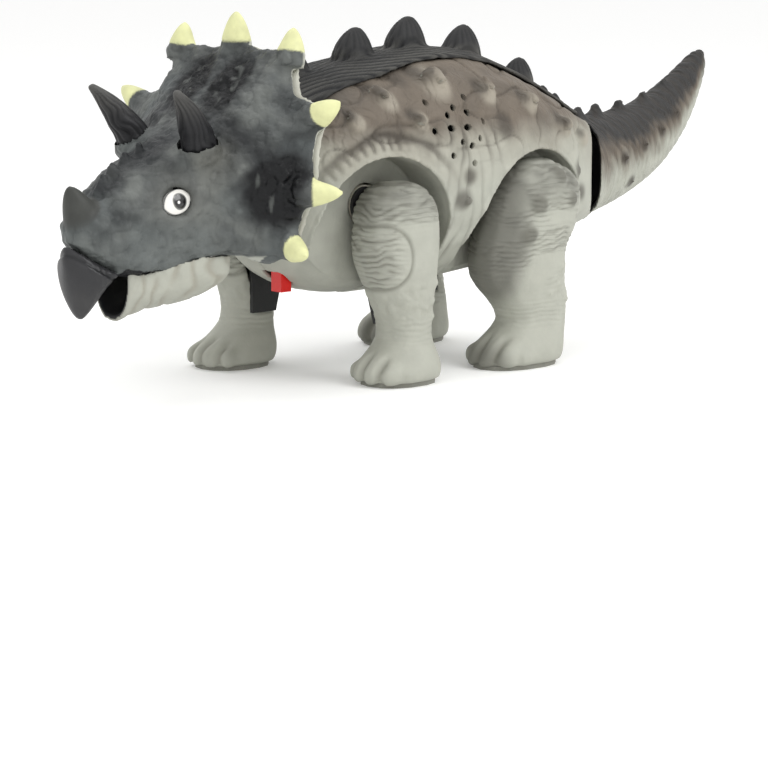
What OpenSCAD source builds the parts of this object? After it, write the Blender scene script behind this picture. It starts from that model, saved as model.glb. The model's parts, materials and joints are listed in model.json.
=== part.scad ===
// Walking toy dinosaur: a horned dinosaur whose four legs swing on two hip axles,
// driven by a small motor through a gear train and two crankshafts.
// +X is the way it walks, +Y is its left side, +Z is up and the floor is z = 0.

/* [Body] */
// Half of the body's greatest width
body_half_width = 41.5; // [39:0.5:46]
// Height of the highest point of the back
back_z = 115; // [112:0.5:120]
// Height of the belly above the floor
belly_z = 30; // [28:0.5:32]
// Wall of the moulded shells
shell_wall = 2; // [1.6:0.1:2.6]
// Front of the chest
chest_x = 82; // [80:0.5:84]
// Rear end of the body on its middle line
body_end_x = -81; // [-83:0.5:-79]
// Radius of the rounded rear rim, seen from above
rim_round_r = 27; // [25:0.5:30]
// Radius of the body at its rear end
tail_ring_r = 20; // [19:0.1:22]
// Height of the middle of the rear end
tail_z = 65.5; // [63:0.5:68]
// Distance of the leg pocket's wall from the middle
pocket_y = 22.8; // [22.4:0.1:23.4]

/* [Dorsal ridge] */
// How far the ridge strip stands over the back
ridge_rise = 1.8; // [1.2:0.1:3]
// Half width of the ridge strip at its widest
ridge_half_width = 21.5; // [18:0.5:24]
// Height of the large spikes over the strip
spike_height = 10; // [7:0.5:13]
// Base radius of the large spikes
spike_base_r = 7.8; // [6:0.25:9]

/* [Legs] */
// Place of the front hip axle along the body
front_hip_x = 44.7; // [44:0.1:46]
// Place of the rear hip axle along the body
rear_hip_x = -26.2; // [-27:0.1:-25]
// Height of both hip axles
hip_z = 50; // [49:0.5:51]
// Diameter of the hip axles
hip_axle_d = 4; // [3:0.1:5]
// Outer face of the legs, from the middle
leg_outer_y = 48; // [46:0.5:51]
// Inner face of the leg drive plates, from the middle
drive_plate_y = 24; // [23.7:0.1:24.5]
// Thickness of the leg drive plates
drive_plate_t = 1.5; // [1.2:0.1:2]
// Thickness of the rubber foot pads
foot_pad_t = 1.6; // [1:0.1:2.5]
// How far the front soles stand off their middle place in this step
front_stride = 10.4; // [6:0.1:11]
// How far the rear soles stand off their middle place in this step
rear_stride = 3.2; // [2:0.1:8]
// How far the front legs stand off the hip in this step
front_hip_shift = 4.4; // [2:0.1:5]
// How far the rear legs stand off the hip in this step
rear_hip_shift = -2; // [-3:0.1:0]

/* [Head] */
// Neck axis along the body
neck_x = 90; // [89:0.5:91]
// Height of the neck
neck_z = 70; // [68:0.5:72]
// Diameter of the neck pin
neck_pin_d = 4; // [3:0.1:5]
// Turn of the head to its left in this pose
head_turn = 5.9; // [0:0.1:8]
// Half width of the frill without its spikes
frill_half_width = 46; // [43:0.5:48]
// Top of the frill without its spikes
frill_top_z = 121; // [117:0.5:124]
// Length of the brow horns
horn_length = 27; // [22:0.5:32]
// Base radius of the brow horns
horn_base_r = 6.6; // [5:0.1:7.5]
// Radius of the eyes
eye_r = 5.6; // [4.5:0.1:6.5]
// Jaw hinge along the head
jaw_hinge_x = 108; // [106:0.5:110]
// Height of the jaw hinge
jaw_hinge_z = 55; // [54:0.5:57]
// Diameter of the jaw pin
jaw_pin_d = 3; // [2:0.1:3.6]

/* [Tail] */
// Turn of the tail tip to the right in this pose
tail_turn = 6.6; // [0:0.1:7]
// Gap between body and tail when the tail is straight
tail_gap = 1.9; // [1.8:0.1:3]
// Distance of the tail pin from the rear end
tail_pin_inset = 9; // [8:0.5:11]
// Diameter of the tail pin
tail_pin_d = 4; // [3:0.1:5]
// Length of the tail behind its rim
tail_length = 84; // [78:1:95]

/* [Drive] */
// Module of the main gear, the crank gears and the last pinion
coarse_module = 0.8; // [0.78:0.01:0.82]
// Module of the fast gears
fine_module = 0.5; // [0.49:0.01:0.51]
// Height of the crankshafts above the hip axles
crank_rise = 13; // [12.6:0.1:13.4]
// Throw of the crank pins
crank_throw = 2.9; // [2.4:0.1:3.2]
// Radius of the crank discs
crank_disc_r = 6.9; // [6.4:0.1:7.2]
// Diameter of the crankshafts
crankshaft_d = 4; // [3.2:0.1:4.4]
// Diameter of the gear axles
gear_axle_d = 2.6; // [2:0.1:3]
// Width of each gear
gear_w = 3; // [2.4:0.1:3]
// Diameter of the motor can
motor_d = 20; // [18:0.5:21]
// Length of the motor can
motor_length = 23.5; // [22:0.5:27]

/* [Batteries and electrics] */
// Diameter of a cell
cell_d = 14.5; // [13.8:0.1:14.6]
// Length of a cell
cell_length = 50.5; // [48:0.5:51]
// Wall of the battery box
box_wall = 1.2; // [1:0.1:1.6]
// Diameter of the speaker
speaker_d = 28; // [25:0.5:30]
// Width of the switch knob across the body
knob_width = 5.5; // [4:0.25:7]
// Travel of the switch knob
knob_travel = 4; // [3:0.25:5]

/* [Fits] */
// Radial clearance of the turning fits
running_gap = 0.05; // [0.02:0.01:0.1]
// Gap between pieces that are fixed together
seat_gap = 0.2; // [0.1:0.05:0.3]
// Gap between pieces that move past each other
moving_gap = 0.5; // [0.3:0.05:0.7]

/* [Hidden] */
$fn = 32;

// Colours
charcoal = "#3b3c3e";
pale_grey = "#aeaea6";
taupe = "#8b8378";
slate = "#565c61";
black = "#1b1b1c";
steel = "#b9bcc0";
nylon = "#e6e3d8";
brass = "#b8994d";
signal_red = "#d8231c";
board_green = "#2f6b45";

// Shape of the lofted sections: 1 is an ellipse, smaller is squarer
body_square = 0.86;
leg_square = 0.9;
body_sides = 22;
leg_sides = 14;
head_sides = 36;

// Value at one side of a superellipse
function squared(v, e) = sign(v) * pow(abs(v), e);

// Closed ring round c, with half axes a and b; the a axis narrows towards -b by the taper
function ring(c, a, b, e, n, taper = 0) = [
    for (i = [0 : n - 1])
        let (t = 360 * i / n)
            c + a * squared(cos(t), e) * (1 + taper * sin(t)) + b * squared(sin(t), e)
];

// Smooth curve through rows of numbers
function curve_row(a, b, c, d, t) =
    (2 * b + (c - a) * t + (2 * a - 5 * b + 4 * c - d) * t * t + (3 * b - a - 3 * c + d) * t * t * t) / 2;
function smooth_rows(rows, steps) = [
    for (i = [0 : len(rows) - 2], s = [0 : steps - 1])
        curve_row(
            rows[max(i - 1, 0)], rows[i], rows[i + 1], rows[min(i + 2, len(rows) - 1)], s / steps),
    rows[len(rows) - 1]
];

// Column of a row list at a place along its first column
function row_at(rows, x, column) = lookup(x, [for (r = rows) [r[0], r[column]]]);

// Solid through a list of rings; a looped one joins its last ring to its first
module loft(rings, looped = false) {
    n = len(rings[0]);
    m = len(rings);
    bands = looped ? m : m - 1;
    sides = [
        for (j = [0 : bands - 1], i = [0 : n - 1])
            let (k = (j + 1) % m, l = (i + 1) % n)
                each [[j * n + i, j * n + l, k * n + l], [j * n + i, k * n + l, k * n + i]]
    ];
    caps = looped ? [] : [[for (i = [n - 1 : -1 : 0]) i], [for (i = [0 : n - 1]) (m - 1) * n + i]];
    polyhedron([for (r = rings) each r], concat(sides, caps), convexity = 8);
}

// Shapes drawn in X and Z, carried along Y
module along_y(y0, y1) {
    translate([0, y1, 0])
        rotate([90, 0, 0])
            linear_extrude(y1 - y0)
                children();
}

// Round bar along Y
module bar_y(x, z, y0, y1, d) {
    translate([x, y1, z])
        rotate([90, 0, 0])
            cylinder(d = d, h = y1 - y0);
}

// Right-hand pieces are mirror images
module on_side(side) {
    if (side > 0) {
        children();
    } else {
        mirror([0, 1, 0])
            children();
    }
}

// Blunt cone from a base point to a tip point
module blunt_cone(base, tip, base_r, tip_r, sides = 10) {
    hull() {
        translate(base)
            sphere(r = base_r, $fn = sides);
        translate(tip)
            sphere(r = tip_r, $fn = sides);
    }
}

// Body form

// Stations from chest to tail: x, lowest z, highest z, half width
body_rows = [
    [chest_x, neck_z - 14, neck_z + 18, 17],
    [chest_x - 4, neck_z - 24, back_z - 18, 27],
    [chest_x - 17, belly_z + 4, back_z - 11, body_half_width - 6.5],
    [50, belly_z, back_z - 6, body_half_width - 2.5],
    [30, belly_z - 0.5, back_z - 3, body_half_width - 0.5],
    [5, belly_z + 1, back_z, body_half_width],
    [-22, belly_z + 4, back_z - 3.5, body_half_width - 1.5],
    [-50, belly_z + 9, back_z - 15, body_half_width - 7.5],
    [-70, belly_z + 13.5, back_z - 25, tail_ring_r + 5],
    [body_end_x - 3, tail_z - tail_ring_r + 1, tail_z + tail_ring_r - 1, tail_ring_r - 1]
];
front_wall = 3;
open_end = 1;

// Body rows moved out by a distance; an inner skin keeps a front wall and runs out at the rear
function body_row(i, grow) =
    let (r = body_rows[i], last = len(body_rows) - 1)
        [
            r[0] + (i == 0 && grow < 0 ? -front_wall : 0) - (i == last && grow < 0 ? open_end : 0),
            r[1] - grow, r[2] + grow, r[3] + grow
        ];
module body_loft(grow) {
    rows = smooth_rows([for (i = [0 : len(body_rows) - 1]) body_row(i, grow)], grow < 0 ? 1 : 2);
    loft([
        for (r = rows)
            ring([r[0], 0, (r[1] + r[2]) / 2], [0, r[3], 0], [0, 0, (r[2] - r[1]) / 2],
                body_square, body_sides)
    ]);
}

// Half width of the body at a place on its flank
function flank_y(x, z) =
    let (
        low = row_at(body_rows, x, 1),
        high = row_at(body_rows, x, 2),
        rise = min(abs(2 * z - low - high) / (high - low), 0.98)
    )
        row_at(body_rows, x, 3) * pow(1 - pow(rise, 2 / body_square), body_square / 2);

// Everything in front of the rounded rear rim
rim_x = body_end_x + rim_round_r;
module before_rim(gap) {
    translate([rim_x, 0, 0])
        cylinder(r = rim_round_r + gap, h = 200, $fn = 48);
    translate([rim_x, -100, 0])
        cube([200, 200, 200]);
}

// Leg pockets: round arches over each hip, open at the belly
front_arch_r = 26.8;
front_arch_forward = 0.8;
front_arch_up = 4;
rear_arch_r = 29;
rear_arch_back = 0.8;
leg_slot_back = 17;
leg_slot_front = 25;
rear_slot_front = 30;
module front_arch(grow) {
    offset(r = grow) {
        translate([front_hip_x + front_arch_forward, hip_z + front_arch_up])
            circle(r = front_arch_r, $fn = 40);
        translate([front_hip_x - leg_slot_back, -5])
            square([leg_slot_back + leg_slot_front, hip_z + 5]);
    }
}
module rear_arch(grow) {
    offset(r = grow) {
        hull() {
            translate([rear_hip_x - rear_arch_back, hip_z])
                circle(r = rear_arch_r, $fn = 40);
            translate([rear_hip_x + 8, hip_z - 10])
                circle(r = rear_arch_r - 2.5, $fn = 40);
        }
        translate([rear_hip_x - leg_slot_back - 3, -5])
            square([leg_slot_back + rear_slot_front, hip_z + 5]);
    }
}
pocket_wall = pocket_y - 21;
module leg_pockets(grow) {
    along_y(pocket_y - grow, body_half_width + 20) {
        front_arch(grow);
        rear_arch(grow);
    }
}

// Crank windows and axle holes in the pocket walls
crank_z = hip_z + crank_rise;
crank_window_gap = 0.6;
axle_hole_gap = 0.3;
module pocket_holes() {
    $fn = 24;
    for (x = [front_hip_x, rear_hip_x]) {
        bar_y(x, crank_z, pocket_y - 8, pocket_y + 2, 2 * (crank_disc_r + crank_window_gap));
        bar_y(x, hip_z, pocket_y - 8, pocket_y + 2, hip_axle_d + 2 * axle_hole_gap);
    }
}

// Scutes on the flanks: x, z, radius
flank_scutes = [
    [17, 105, 6], [43, 101, 4.5], [59, 95, 4.5], [-6, 102, 4.5], [-27, 96, 4.5],
    [-44, 86, 4.5], [33, 92, 4], [-59.5, 70, 3.6], [13, 63, 3.5], [-62, 80, 4]
];
scute_rise = 2.2;
module flank_scute(s) {
    y = flank_y(s[0], s[1]);
    hull() {
        translate([s[0], y - 2, s[1]])
            rotate([-90, 0, 0])
                cylinder(r = s[2], h = 1, $fn = 8);
        translate([s[0] - 1, y + scute_rise - 1, s[1] + 0.5])
            sphere(r = s[2] * 0.4, $fn = 5);
    }
}

// Speaker behind small holes in the left flank
speaker_x = 14;
speaker_z = 88.8;
speaker_t = 5;
speaker_outer_y = flank_y(speaker_x, speaker_z + speaker_d / 2) - shell_wall - 4;
speaker_hole_r = 0.95;
speaker_holes = [
    [11, 9.5], [-6.5, 10.6], [0.3, 7.4], [3.4, 4.9], [-5.6, 5.3], [10.8, -0.3], [3.1, 0.4],
    [-3.8, 0.4], [-12.3, 1.9], [-0.5, -4.5], [-5, -6], [-8.8, -3.7], [4, -9.1], [-5.5, -12.3]
];

// Screws that hold the two halves: x, z, taken from the right flank
screw_places = [[56, 91], [72, 52.6], [-52, 84], [-55, 53]];
screw_d = 2.6;
screw_head_d = 5;
screw_head_t = 1.8;
screw_well_d = 6.7;
screw_boss_d = 8;
screw_seat_y = 8;
screw_reach = 14;

// Battery door opening in the belly
box_y = 1.5;
cell_gap = 0.4;
box_inner_w = 2 * cell_d + 3 * cell_gap;
box_inner_l = cell_length + 5;
box_axle_gap = 3.8;
box_x1 = front_hip_x - box_axle_gap;
box_x0 = box_x1 - box_inner_l - 2 * box_wall;
box_w = box_inner_w + 2 * box_wall;
box_floor_z = belly_z + 9;
box_top_z = box_floor_z + cell_d + cell_gap + box_wall;
door_margin = 2;
door_tab = 8;
module door_opening(shrink) {
    translate([box_x0 - door_margin - door_tab + shrink, box_y - box_w / 2 - door_margin + shrink, 0])
        cube([
            box_x1 - box_x0 + 2 * door_margin + door_tab - 2 * shrink,
            box_w + 2 * door_margin - 2 * shrink,
            belly_z + 14
        ]);
}

// Switch slot under the chest
knob_x = 67.8;
knob_rest_y = 4;
knob_length = 4.6;
knob_low_z = 32.2;
knob_top_z = 44;
module switch_slot() {
    translate([
        knob_x - knob_length / 2 - moving_gap, knob_rest_y - knob_travel - knob_width / 2 - moving_gap, 0
    ])
        cube([knob_length + 2 * moving_gap, knob_width + knob_travel + 2 * moving_gap, knob_top_z + 4]);
}

// Neck socket in the chest
neck_stub_r = 9;
neck_flange_r = 12.5;
module neck_socket() {
    translate([chest_x - front_wall - 6, 0, neck_z])
        rotate([0, 90, 0])
            cylinder(r = neck_stub_r + seat_gap, h = 30, $fn = 32);
}

module body_shell(side) {
    $fn = 10;
    color(side > 0 ? taupe : pale_grey)
        intersection() {
            before_rim(0);
            on_side(side)
                translate([body_end_x - 20, 0, 0])
                    cube([chest_x - body_end_x + 40, body_half_width + 40, back_z + 40]);
            difference() {
                union() {
                    difference() {
                        body_loft(0);
                        body_loft(-shell_wall);
                    }
                    intersection() {
                        body_loft(0);
                        on_side(side)
                            leg_pockets(pocket_wall);
                    }
                    on_side(side)
                        for (s = flank_scutes)
                            flank_scute(s);
                    intersection() {
                        body_loft(-shell_wall / 2);
                        shell_bosses(side);
                    }
                }
                on_side(side) {
                    leg_pockets(0);
                    pocket_holes();
                }
                shell_holes(side);
            }
        }
}

// Screw posts in both halves and the speaker's ring in the left one
module shell_bosses(side) {
    for (p = screw_places)
        if (side > 0)
            bar_y(p[0], p[1], seat_gap, body_half_width, screw_boss_d);
        else
            bar_y(p[0], p[1], -body_half_width, 0, screw_boss_d);
    if (side > 0)
        difference() {
            bar_y(speaker_x, speaker_z, speaker_outer_y - speaker_t, body_half_width,
                speaker_d + 2 * seat_gap + 2 * shell_wall);
            bar_y(speaker_x, speaker_z, speaker_outer_y - speaker_t - 1, speaker_outer_y + seat_gap,
                speaker_d + 2 * seat_gap, $fn = 32);
            bar_y(speaker_x, speaker_z, speaker_outer_y - 1, body_half_width + 1, speaker_d - 3);
        }
}

// Openings through the shells
module shell_holes(side) {
    neck_socket();
    switch_slot();
    door_opening(0);
    for (p = screw_places) {
        bar_y(p[0], p[1], -body_half_width - 9, -screw_seat_y, screw_well_d);
        bar_y(p[0], p[1], -screw_seat_y - 1, screw_reach, screw_d + 2 * seat_gap);
    }
    if (side > 0)
        for (h = speaker_holes)
            translate([speaker_x + h[0], speaker_outer_y, speaker_z + h[1]])
                rotate([-90, 0, 0])
                    cylinder(r = speaker_hole_r, h = body_half_width, $fn = 6);
}

// Dark strip along the back with its spikes

// x and half width share of the strip
ridge_rows = [
    [72, 0.96], [54, 1], [35, 0.98], [19, 0.87], [5, 0.84], [-10, 0.83], [-27, 0.81],
    [-43, 0.78], [-62, 0.66], [-74, 0.52]
];
// x of the large spikes and their size share
ridge_spikes = [[57.3, 0.72], [30.3, 1], [5, 1], [-22.7, 0.98], [-51.7, 0.85]];
ridge_small_spikes = [[-65, 0.42], [-71.5, 0.4], [-43, 0.3]];
spike_lean = 1.5;
spike_tip_r = 1.8;
module dorsal_ridge() {
    color(charcoal)
        difference() {
            union() {
                intersection() {
                    body_loft(ridge_rise);
                    linear_extrude(back_z + 40)
                        polygon(concat(
                            [for (r = ridge_rows) [r[0], r[1] * ridge_half_width]],
                            [for (i = [len(ridge_rows) - 1 : -1 : 0])
                                [ridge_rows[i][0], -ridge_rows[i][1] * ridge_half_width]]
                        ));
                    translate([body_end_x, -40, tail_z])
                        cube([chest_x - body_end_x, 80, back_z]);
                }
                for (s = concat(ridge_spikes, ridge_small_spikes))
                    ridge_spike(s[0], s[1]);
            }
            body_loft(seat_gap);
        }
}
module ridge_spike(x, share) {
    z = row_at(body_rows, x, 2) + ridge_rise;
    r = spike_base_r * share;
    hull() {
        intersection() {
            body_slice(x, r);
            translate([x, 0, z - 15])
                scale([1, 0.75, 1])
                    cylinder(r = r, h = 40, $fn = 16);
        }
        translate([x - spike_lean * share, 0, z + spike_height * share - spike_tip_r])
            sphere(r = spike_tip_r, $fn = 10);
    }
}
// Piece of the ridge's own skin, on which a spike stands
module body_slice(x, r) {
    difference() {
        body_loft(ridge_rise);
        body_loft(seat_gap + 0.2);
        translate([x + r + 0.1, -60, 0])
            cube([300, 120, 300]);
        translate([x - r - 300.1, -60, 0])
            cube([300, 120, 300]);
        translate([-300, -60, 0])
            cube([600, 120, tail_z]);
        translate([-300, 20, 0])
            cube([600, 120, 300]);
        translate([-300, -140, 0])
            cube([600, 120, 300]);
    }
}

module body_screws() {
    color(steel)
        for (p = screw_places) {
            bar_y(p[0], p[1], -screw_seat_y - screw_head_t, -screw_seat_y, screw_head_d);
            bar_y(p[0], p[1], -screw_seat_y, screw_reach - 1, screw_d);
        }
}

// Neck: a stub in the chest with a lug that the head's ears straddle
neck_lug_half_h = 6;
neck_lug_half_w = 5;
neck_pin_reach = 13;
module neck_post() {
    color(black)
        difference() {
            union() {
                translate([chest_x - front_wall - 4, 0, neck_z])
                    rotate([0, 90, 0])
                        cylinder(r = neck_stub_r, h = neck_x - chest_x - 2);
                translate([chest_x - front_wall - 3 - seat_gap - 3, 0, neck_z])
                    rotate([0, 90, 0])
                        cylinder(r = neck_flange_r, h = 3);
                translate([chest_x - 4, -neck_lug_half_w, neck_z - neck_lug_half_h])
                    cube([neck_x - chest_x + 4, 2 * neck_lug_half_w, 2 * neck_lug_half_h]);
                translate([neck_x, 0, neck_z - neck_lug_half_h])
                    cylinder(r = neck_lug_half_w, h = 2 * neck_lug_half_h);
            }
            translate([neck_x, 0, neck_z - 20])
                cylinder(d = neck_pin_d, h = 40);
        }
}
module neck_pin() {
    color(steel)
        translate([neck_x, 0, neck_z - neck_pin_reach])
            cylinder(d = neck_pin_d, h = 2 * neck_pin_reach);
}

// Tail joint: a cross beam inside the body with a lug, and a yoke in the tail
tail_x = body_end_x + tail_pin_inset;
tail_lug_half_h = 5;
tail_lug_half_w = 4.5;
tail_pin_reach = 10;
tail_ear_t = 4;
beam_x = tail_x + 7;
beam_t = 5;
module tail_post() {
    reach = flank_y(beam_x, tail_z + tail_lug_half_h) - shell_wall - seat_gap - 0.5;
    color(black)
        difference() {
            union() {
                translate([beam_x, -reach, tail_z - tail_lug_half_h])
                    cube([beam_t, 2 * reach, 2 * tail_lug_half_h]);
                translate([tail_x, -tail_lug_half_w, tail_z - tail_lug_half_h])
                    cube([beam_x - tail_x + 1, 2 * tail_lug_half_w, 2 * tail_lug_half_h]);
                translate([tail_x, 0, tail_z - tail_lug_half_h])
                    cylinder(r = tail_lug_half_w, h = 2 * tail_lug_half_h);
            }
            translate([tail_x, 0, tail_z - 20])
                cylinder(d = tail_pin_d + seat_gap, h = 40);
        }
}
module tail_pin() {
    color(steel)
        translate([tail_x, 0, tail_z - tail_pin_reach])
            cylinder(d = tail_pin_d, h = 2 * tail_pin_reach);
}

// The tail is drawn straight and turned about its pin
module in_tail() {
    translate([tail_x, 0, 0])
        rotate([0, 0, tail_turn])
            translate([-tail_x, 0, 0])
                children();
}
tail_front_x = body_end_x - tail_gap;

// Tail stations: share of its length behind the rim, height over the rim's middle, radius
tail_rows = [
    [-0.16, 0.8, tail_ring_r + 4.4], [0, 0.3, tail_ring_r - 0.6], [0.14, 1.8, 18.2], [0.33, 4.6, 16.2],
    [0.53, 9.6, 13.8], [0.74, 19.5, 10.4], [0.89, 30.5, 6.9], [0.97, 37.8, 4.4], [1, 40.6, 1.6]
];
function tail_row(r, grow) =
    [tail_front_x - r[0] * tail_length, tail_z + r[1], max(r[2] + grow, 0.6)];
// The sections lean with the rising tip
tail_lean = 26;
module tail_loft(grow, rows) {
    points = smooth_rows([for (r = rows) tail_row(r, grow)], 2);
    loft([
        for (p = points)
            let (lean = tail_lean * max(tail_front_x - p[0], 0) / tail_length)
                ring([p[0], 0, p[1]], [0, p[2], 0], p[2] * [sin(lean), 0, cos(lean)], 0.95, 18)
    ]);
}
// Bumps on the tail: share of its length, angle up from the side, radius
tail_bumps = [[0.12, 8, 2.4], [0.3, 14, 2.2], [0.47, 20, 2], [0.2, -28, 2], [0.62, 24, 1.7]];
tail_spikes = [[0.04, 3.4], [0.17, 3.6], [0.35, 3.4], [0.53, 3.2], [0.7, 2.6]];
function tail_at(share, column) = row_at(tail_rows, share, column);
module tail_shell() {
    color(taupe)
        in_tail()
            difference() {
                union() {
                    tail_loft(0, tail_rows);
                    for (b = tail_bumps, side = [1, -1])
                        tail_bump(b, side);
                    for (s = tail_spikes)
                        tail_spike(s);
                }
                translate([0.5, 0, 0])
                    tail_loft(-shell_wall, [for (i = [0 : 5]) tail_rows[i]]);
                before_rim(tail_gap);
            }
}
module tail_bump(b, side) {
    x = tail_front_x - b[0] * tail_length;
    r = tail_at(b[0], 2);
    z = tail_z + tail_at(b[0], 1) + r * sin(b[1]);
    y = side * r * cos(b[1]);
    blunt_cone([x, y - side * 1.2, z], [x - 1, y + side * 1, z + 0.3], b[2], 0.8, 6);
}
module tail_spike(s) {
    x = tail_front_x - s[0] * tail_length;
    z = tail_z + tail_at(s[0], 1) + tail_at(s[0], 2);
    blunt_cone([x, 0, z - 1.5], [x - 1.5, 0, z + s[1]], s[1], 0.8, 8);
}
yoke_disc_x = tail_front_x - 5;
yoke_disc_t = 2;
module tail_yoke() {
    disc_r = row_at(tail_rows, (tail_front_x - yoke_disc_x) / tail_length, 2) - shell_wall - 2;
    color(black)
        in_tail()
            difference() {
                union() {
                    translate([yoke_disc_x, 0, tail_z])
                        rotate([0, 90, 0])
                            cylinder(r = disc_r, h = yoke_disc_t);
                    for (up = [1, -1])
                        tail_ear(up);
                }
                translate([tail_x, 0, tail_z - 30])
                    cylinder(d = tail_pin_d + 2 * running_gap, h = 60);
            }
}
module tail_ear(up) {
    z = up > 0 ? tail_z + tail_lug_half_h + moving_gap : tail_z - tail_lug_half_h - moving_gap - tail_ear_t;
    translate([yoke_disc_x + 1, -tail_lug_half_w, z])
        cube([tail_x - yoke_disc_x - 1, 2 * tail_lug_half_w, tail_ear_t]);
    translate([tail_x, 0, z])
        cylinder(r = tail_lug_half_w, h = tail_ear_t);
}

// Head, drawn straight and turned about the neck pin
module in_head() {
    translate([neck_x, 0, 0])
        rotate([0, 0, head_turn])
            translate([-neck_x, 0, 0])
                children();
}

// Upper lip line under the head: x, z
lip_rows = [
    [170, 58.5], [165, 57.2], [158, 52.5], [152, 48.8], [147, 45.6], [138, 43.6], [128, 45.2], [104, 49.5]
];
function lip_z(x) = lookup(x, lip_rows);

// Head stations, nose to frill rim and back inside:
// lower x and z, upper x and z, half width, squareness above and below, share of the frill's lobes
head_rows = [
    [163.6, 57.6, 163.2, 59.5, 1.5, 0.9, 0.9, 0],
    [162.2, 56, 161.4, 65, 5, 0.9, 0.8, 0],
    [158, 52.7, 157.5, 68.5, 8.6, 0.88, 0.7, 0],
    [152, 49, 151.8, 71.5, 11, 0.88, 0.6, 0],
    [147, 45.6, 148, 75.5, 13, 0.88, 0.45, 0],
    [138, 43.6, 139, 81.5, 15.5, 0.86, 0.42, 0],
    [128, 45.2, 127, 86, 18, 0.86, 0.42, 0],
    [119, 48.4, 114, 92.5, 22, 0.86, 0.42, 0.05],
    [112, 49.5, 104, 101, 30, 0.86, 0.48, 0.2],
    [105, 50, 93, 111, 40, 0.86, 0.52, 0.6],
    [101, 51, 85, frill_top_z - 1, frill_half_width - 0.5, 0.86, 0.54, 1],
    [99.4, 51.5, 83, frill_top_z, frill_half_width, 0.86, 0.54, 1],
    [97.8, 52.5, 82, frill_top_z - 1, frill_half_width - 1, 0.86, 0.54, 1],
    [102.5, 53, 91, 109, 38, 0.86, 0.52, 0.6],
    [110, 52.4, 103, 98, 26.5, 0.86, 0.48, 0.2],
    [120, 51.6, 119, 86.5, 17, 0.86, 0.45, 0],
    [138, 50, 138, 78, 12.5, 0.86, 0.5, 0]
];
// Outline of the frill: angle from its side, reach from its middle
frill_lobes = [
    [-90, 35], [-62, 40.5], [-51, 50], [-44, 55], [-38, 54], [-28, 49], [-17, 48.6], [-3, 44],
    [10, 46], [18, 46.5], [24, 40], [31, 35.5], [40, 38], [50, 42], [58, 40], [66, 35], [78, 34.5], [90, 36]
];
lobe_half_width = 46;
// Across and up shares of the lobed outline at an angle
function lobe_at(t) =
    let (side = cos(t) < 0 ? 180 - t : t, a = side > 180 ? side - 360 : side, reach = lookup(a, frill_lobes))
        [sign(cos(t)) * reach * cos(a) / lobe_half_width, reach * sin(a) / frill_lobes[0][1]];
// One station's point at an angle; a share below 1 lies inside its outline
function head_point(r, t, share = 1) =
    let (
        e = sin(t) < 0 ? r[6] : r[5],
        plain = [squared(cos(t), e), squared(sin(t), e)],
        p = share * (plain * (1 - r[7]) + lobe_at(t) * r[7])
    )
        [
            (r[0] + r[2]) / 2 + (r[2] - r[0]) / 2 * p[1],
            r[4] * p[0],
            (r[1] + r[3]) / 2 + (r[3] - r[1]) / 2 * p[1]
        ];
function head_ring(r) = [for (i = [0 : head_sides - 1]) head_point(r, 360 * i / head_sides)];

// Frill spikes of one side: angle round the rim, tip, size share
frill_spikes = [
    [50, [82.2, 26.6, 126.5], 1], [14, [88.1, 54, 103], 0.95], [-17, [87, 54.3, 72.2], 0.95],
    [-38, [102, 51.4, 51.6], 0.85]
];
frill_centre_spike = [90, [83.4, 0, 131.8], 1.1];
frill_index = 11;
frill_row = head_rows[frill_index];
frill_spike_r = 5;
frill_tip_r = 1.4;
module frill_spike_cone(s) {
    base = head_point(frill_row, s[0], 0.94);
    out = (s[1] - base) / norm(s[1] - base);
    hull() {
        translate(base)
            sphere(r = frill_spike_r * s[2], $fn = 8);
        translate(s[1] - out * frill_tip_r)
            sphere(r = frill_tip_r, $fn = 6);
    }
}

// Brow horns: curved cones that rise from sockets over the eyes
horn_base = [117, 15.5, 87];
horn_sink = 3;
horn_steps = 7;
function horn_centre(t) =
    horn_base + horn_length * [0.42 * t + 0.16 * t * t, 0.2 * t, 0.86 * t - 0.12 * t * t];
function horn_turn(t) = 20 + 16 * t;
module horn_solid(grow) {
    steps = [for (i = [0 : horn_steps]) i / horn_steps];
    loft(concat(
        [horn_ring(-horn_sink / horn_length, grow)],
        [for (t = steps) horn_ring(t, grow)]
    ));
}
function horn_ring(t, grow) =
    let (
        r = t < 0 ? horn_base_r + grow : max((horn_base_r + grow) * pow(1 - t, 0.66), 0.9),
        a = horn_turn(max(t, 0))
    )
        ring(horn_centre(t), [r * cos(a), 0, -r * sin(a)], [0, -r, 0], 1, 12);

// Knobs of the crest between the nose horn and the brow horns: x, z, radius
crest_knobs = [[149.5, 74, 2.4], [147, 78, 2.8], [142.5, 81.5, 2.8], [136.5, 84, 3], [130, 86.5, 3]];

eye_place = [128.5, 15.4, 69.5];
eye_turn = [-78, 0, -8];
eye_t = 2.4;
module eye_solid() {
    translate(eye_place)
        rotate(eye_turn)
            rotate_extrude()
                eye_outline();
}
module eye_pocket() {
    translate(eye_place)
        rotate(eye_turn)
            translate([0, 0, -seat_gap])
                cylinder(r = eye_r + seat_gap, h = 10, $fn = 16);
}
// Half section of the eye: a flat disc with a domed front
module eye_outline() {
    intersection() {
        square([eye_r, eye_t + 1]);
        translate([0, eye_t - 3 * eye_r])
            circle(r = 3 * eye_r, $fn = 96);
    }
}

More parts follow.
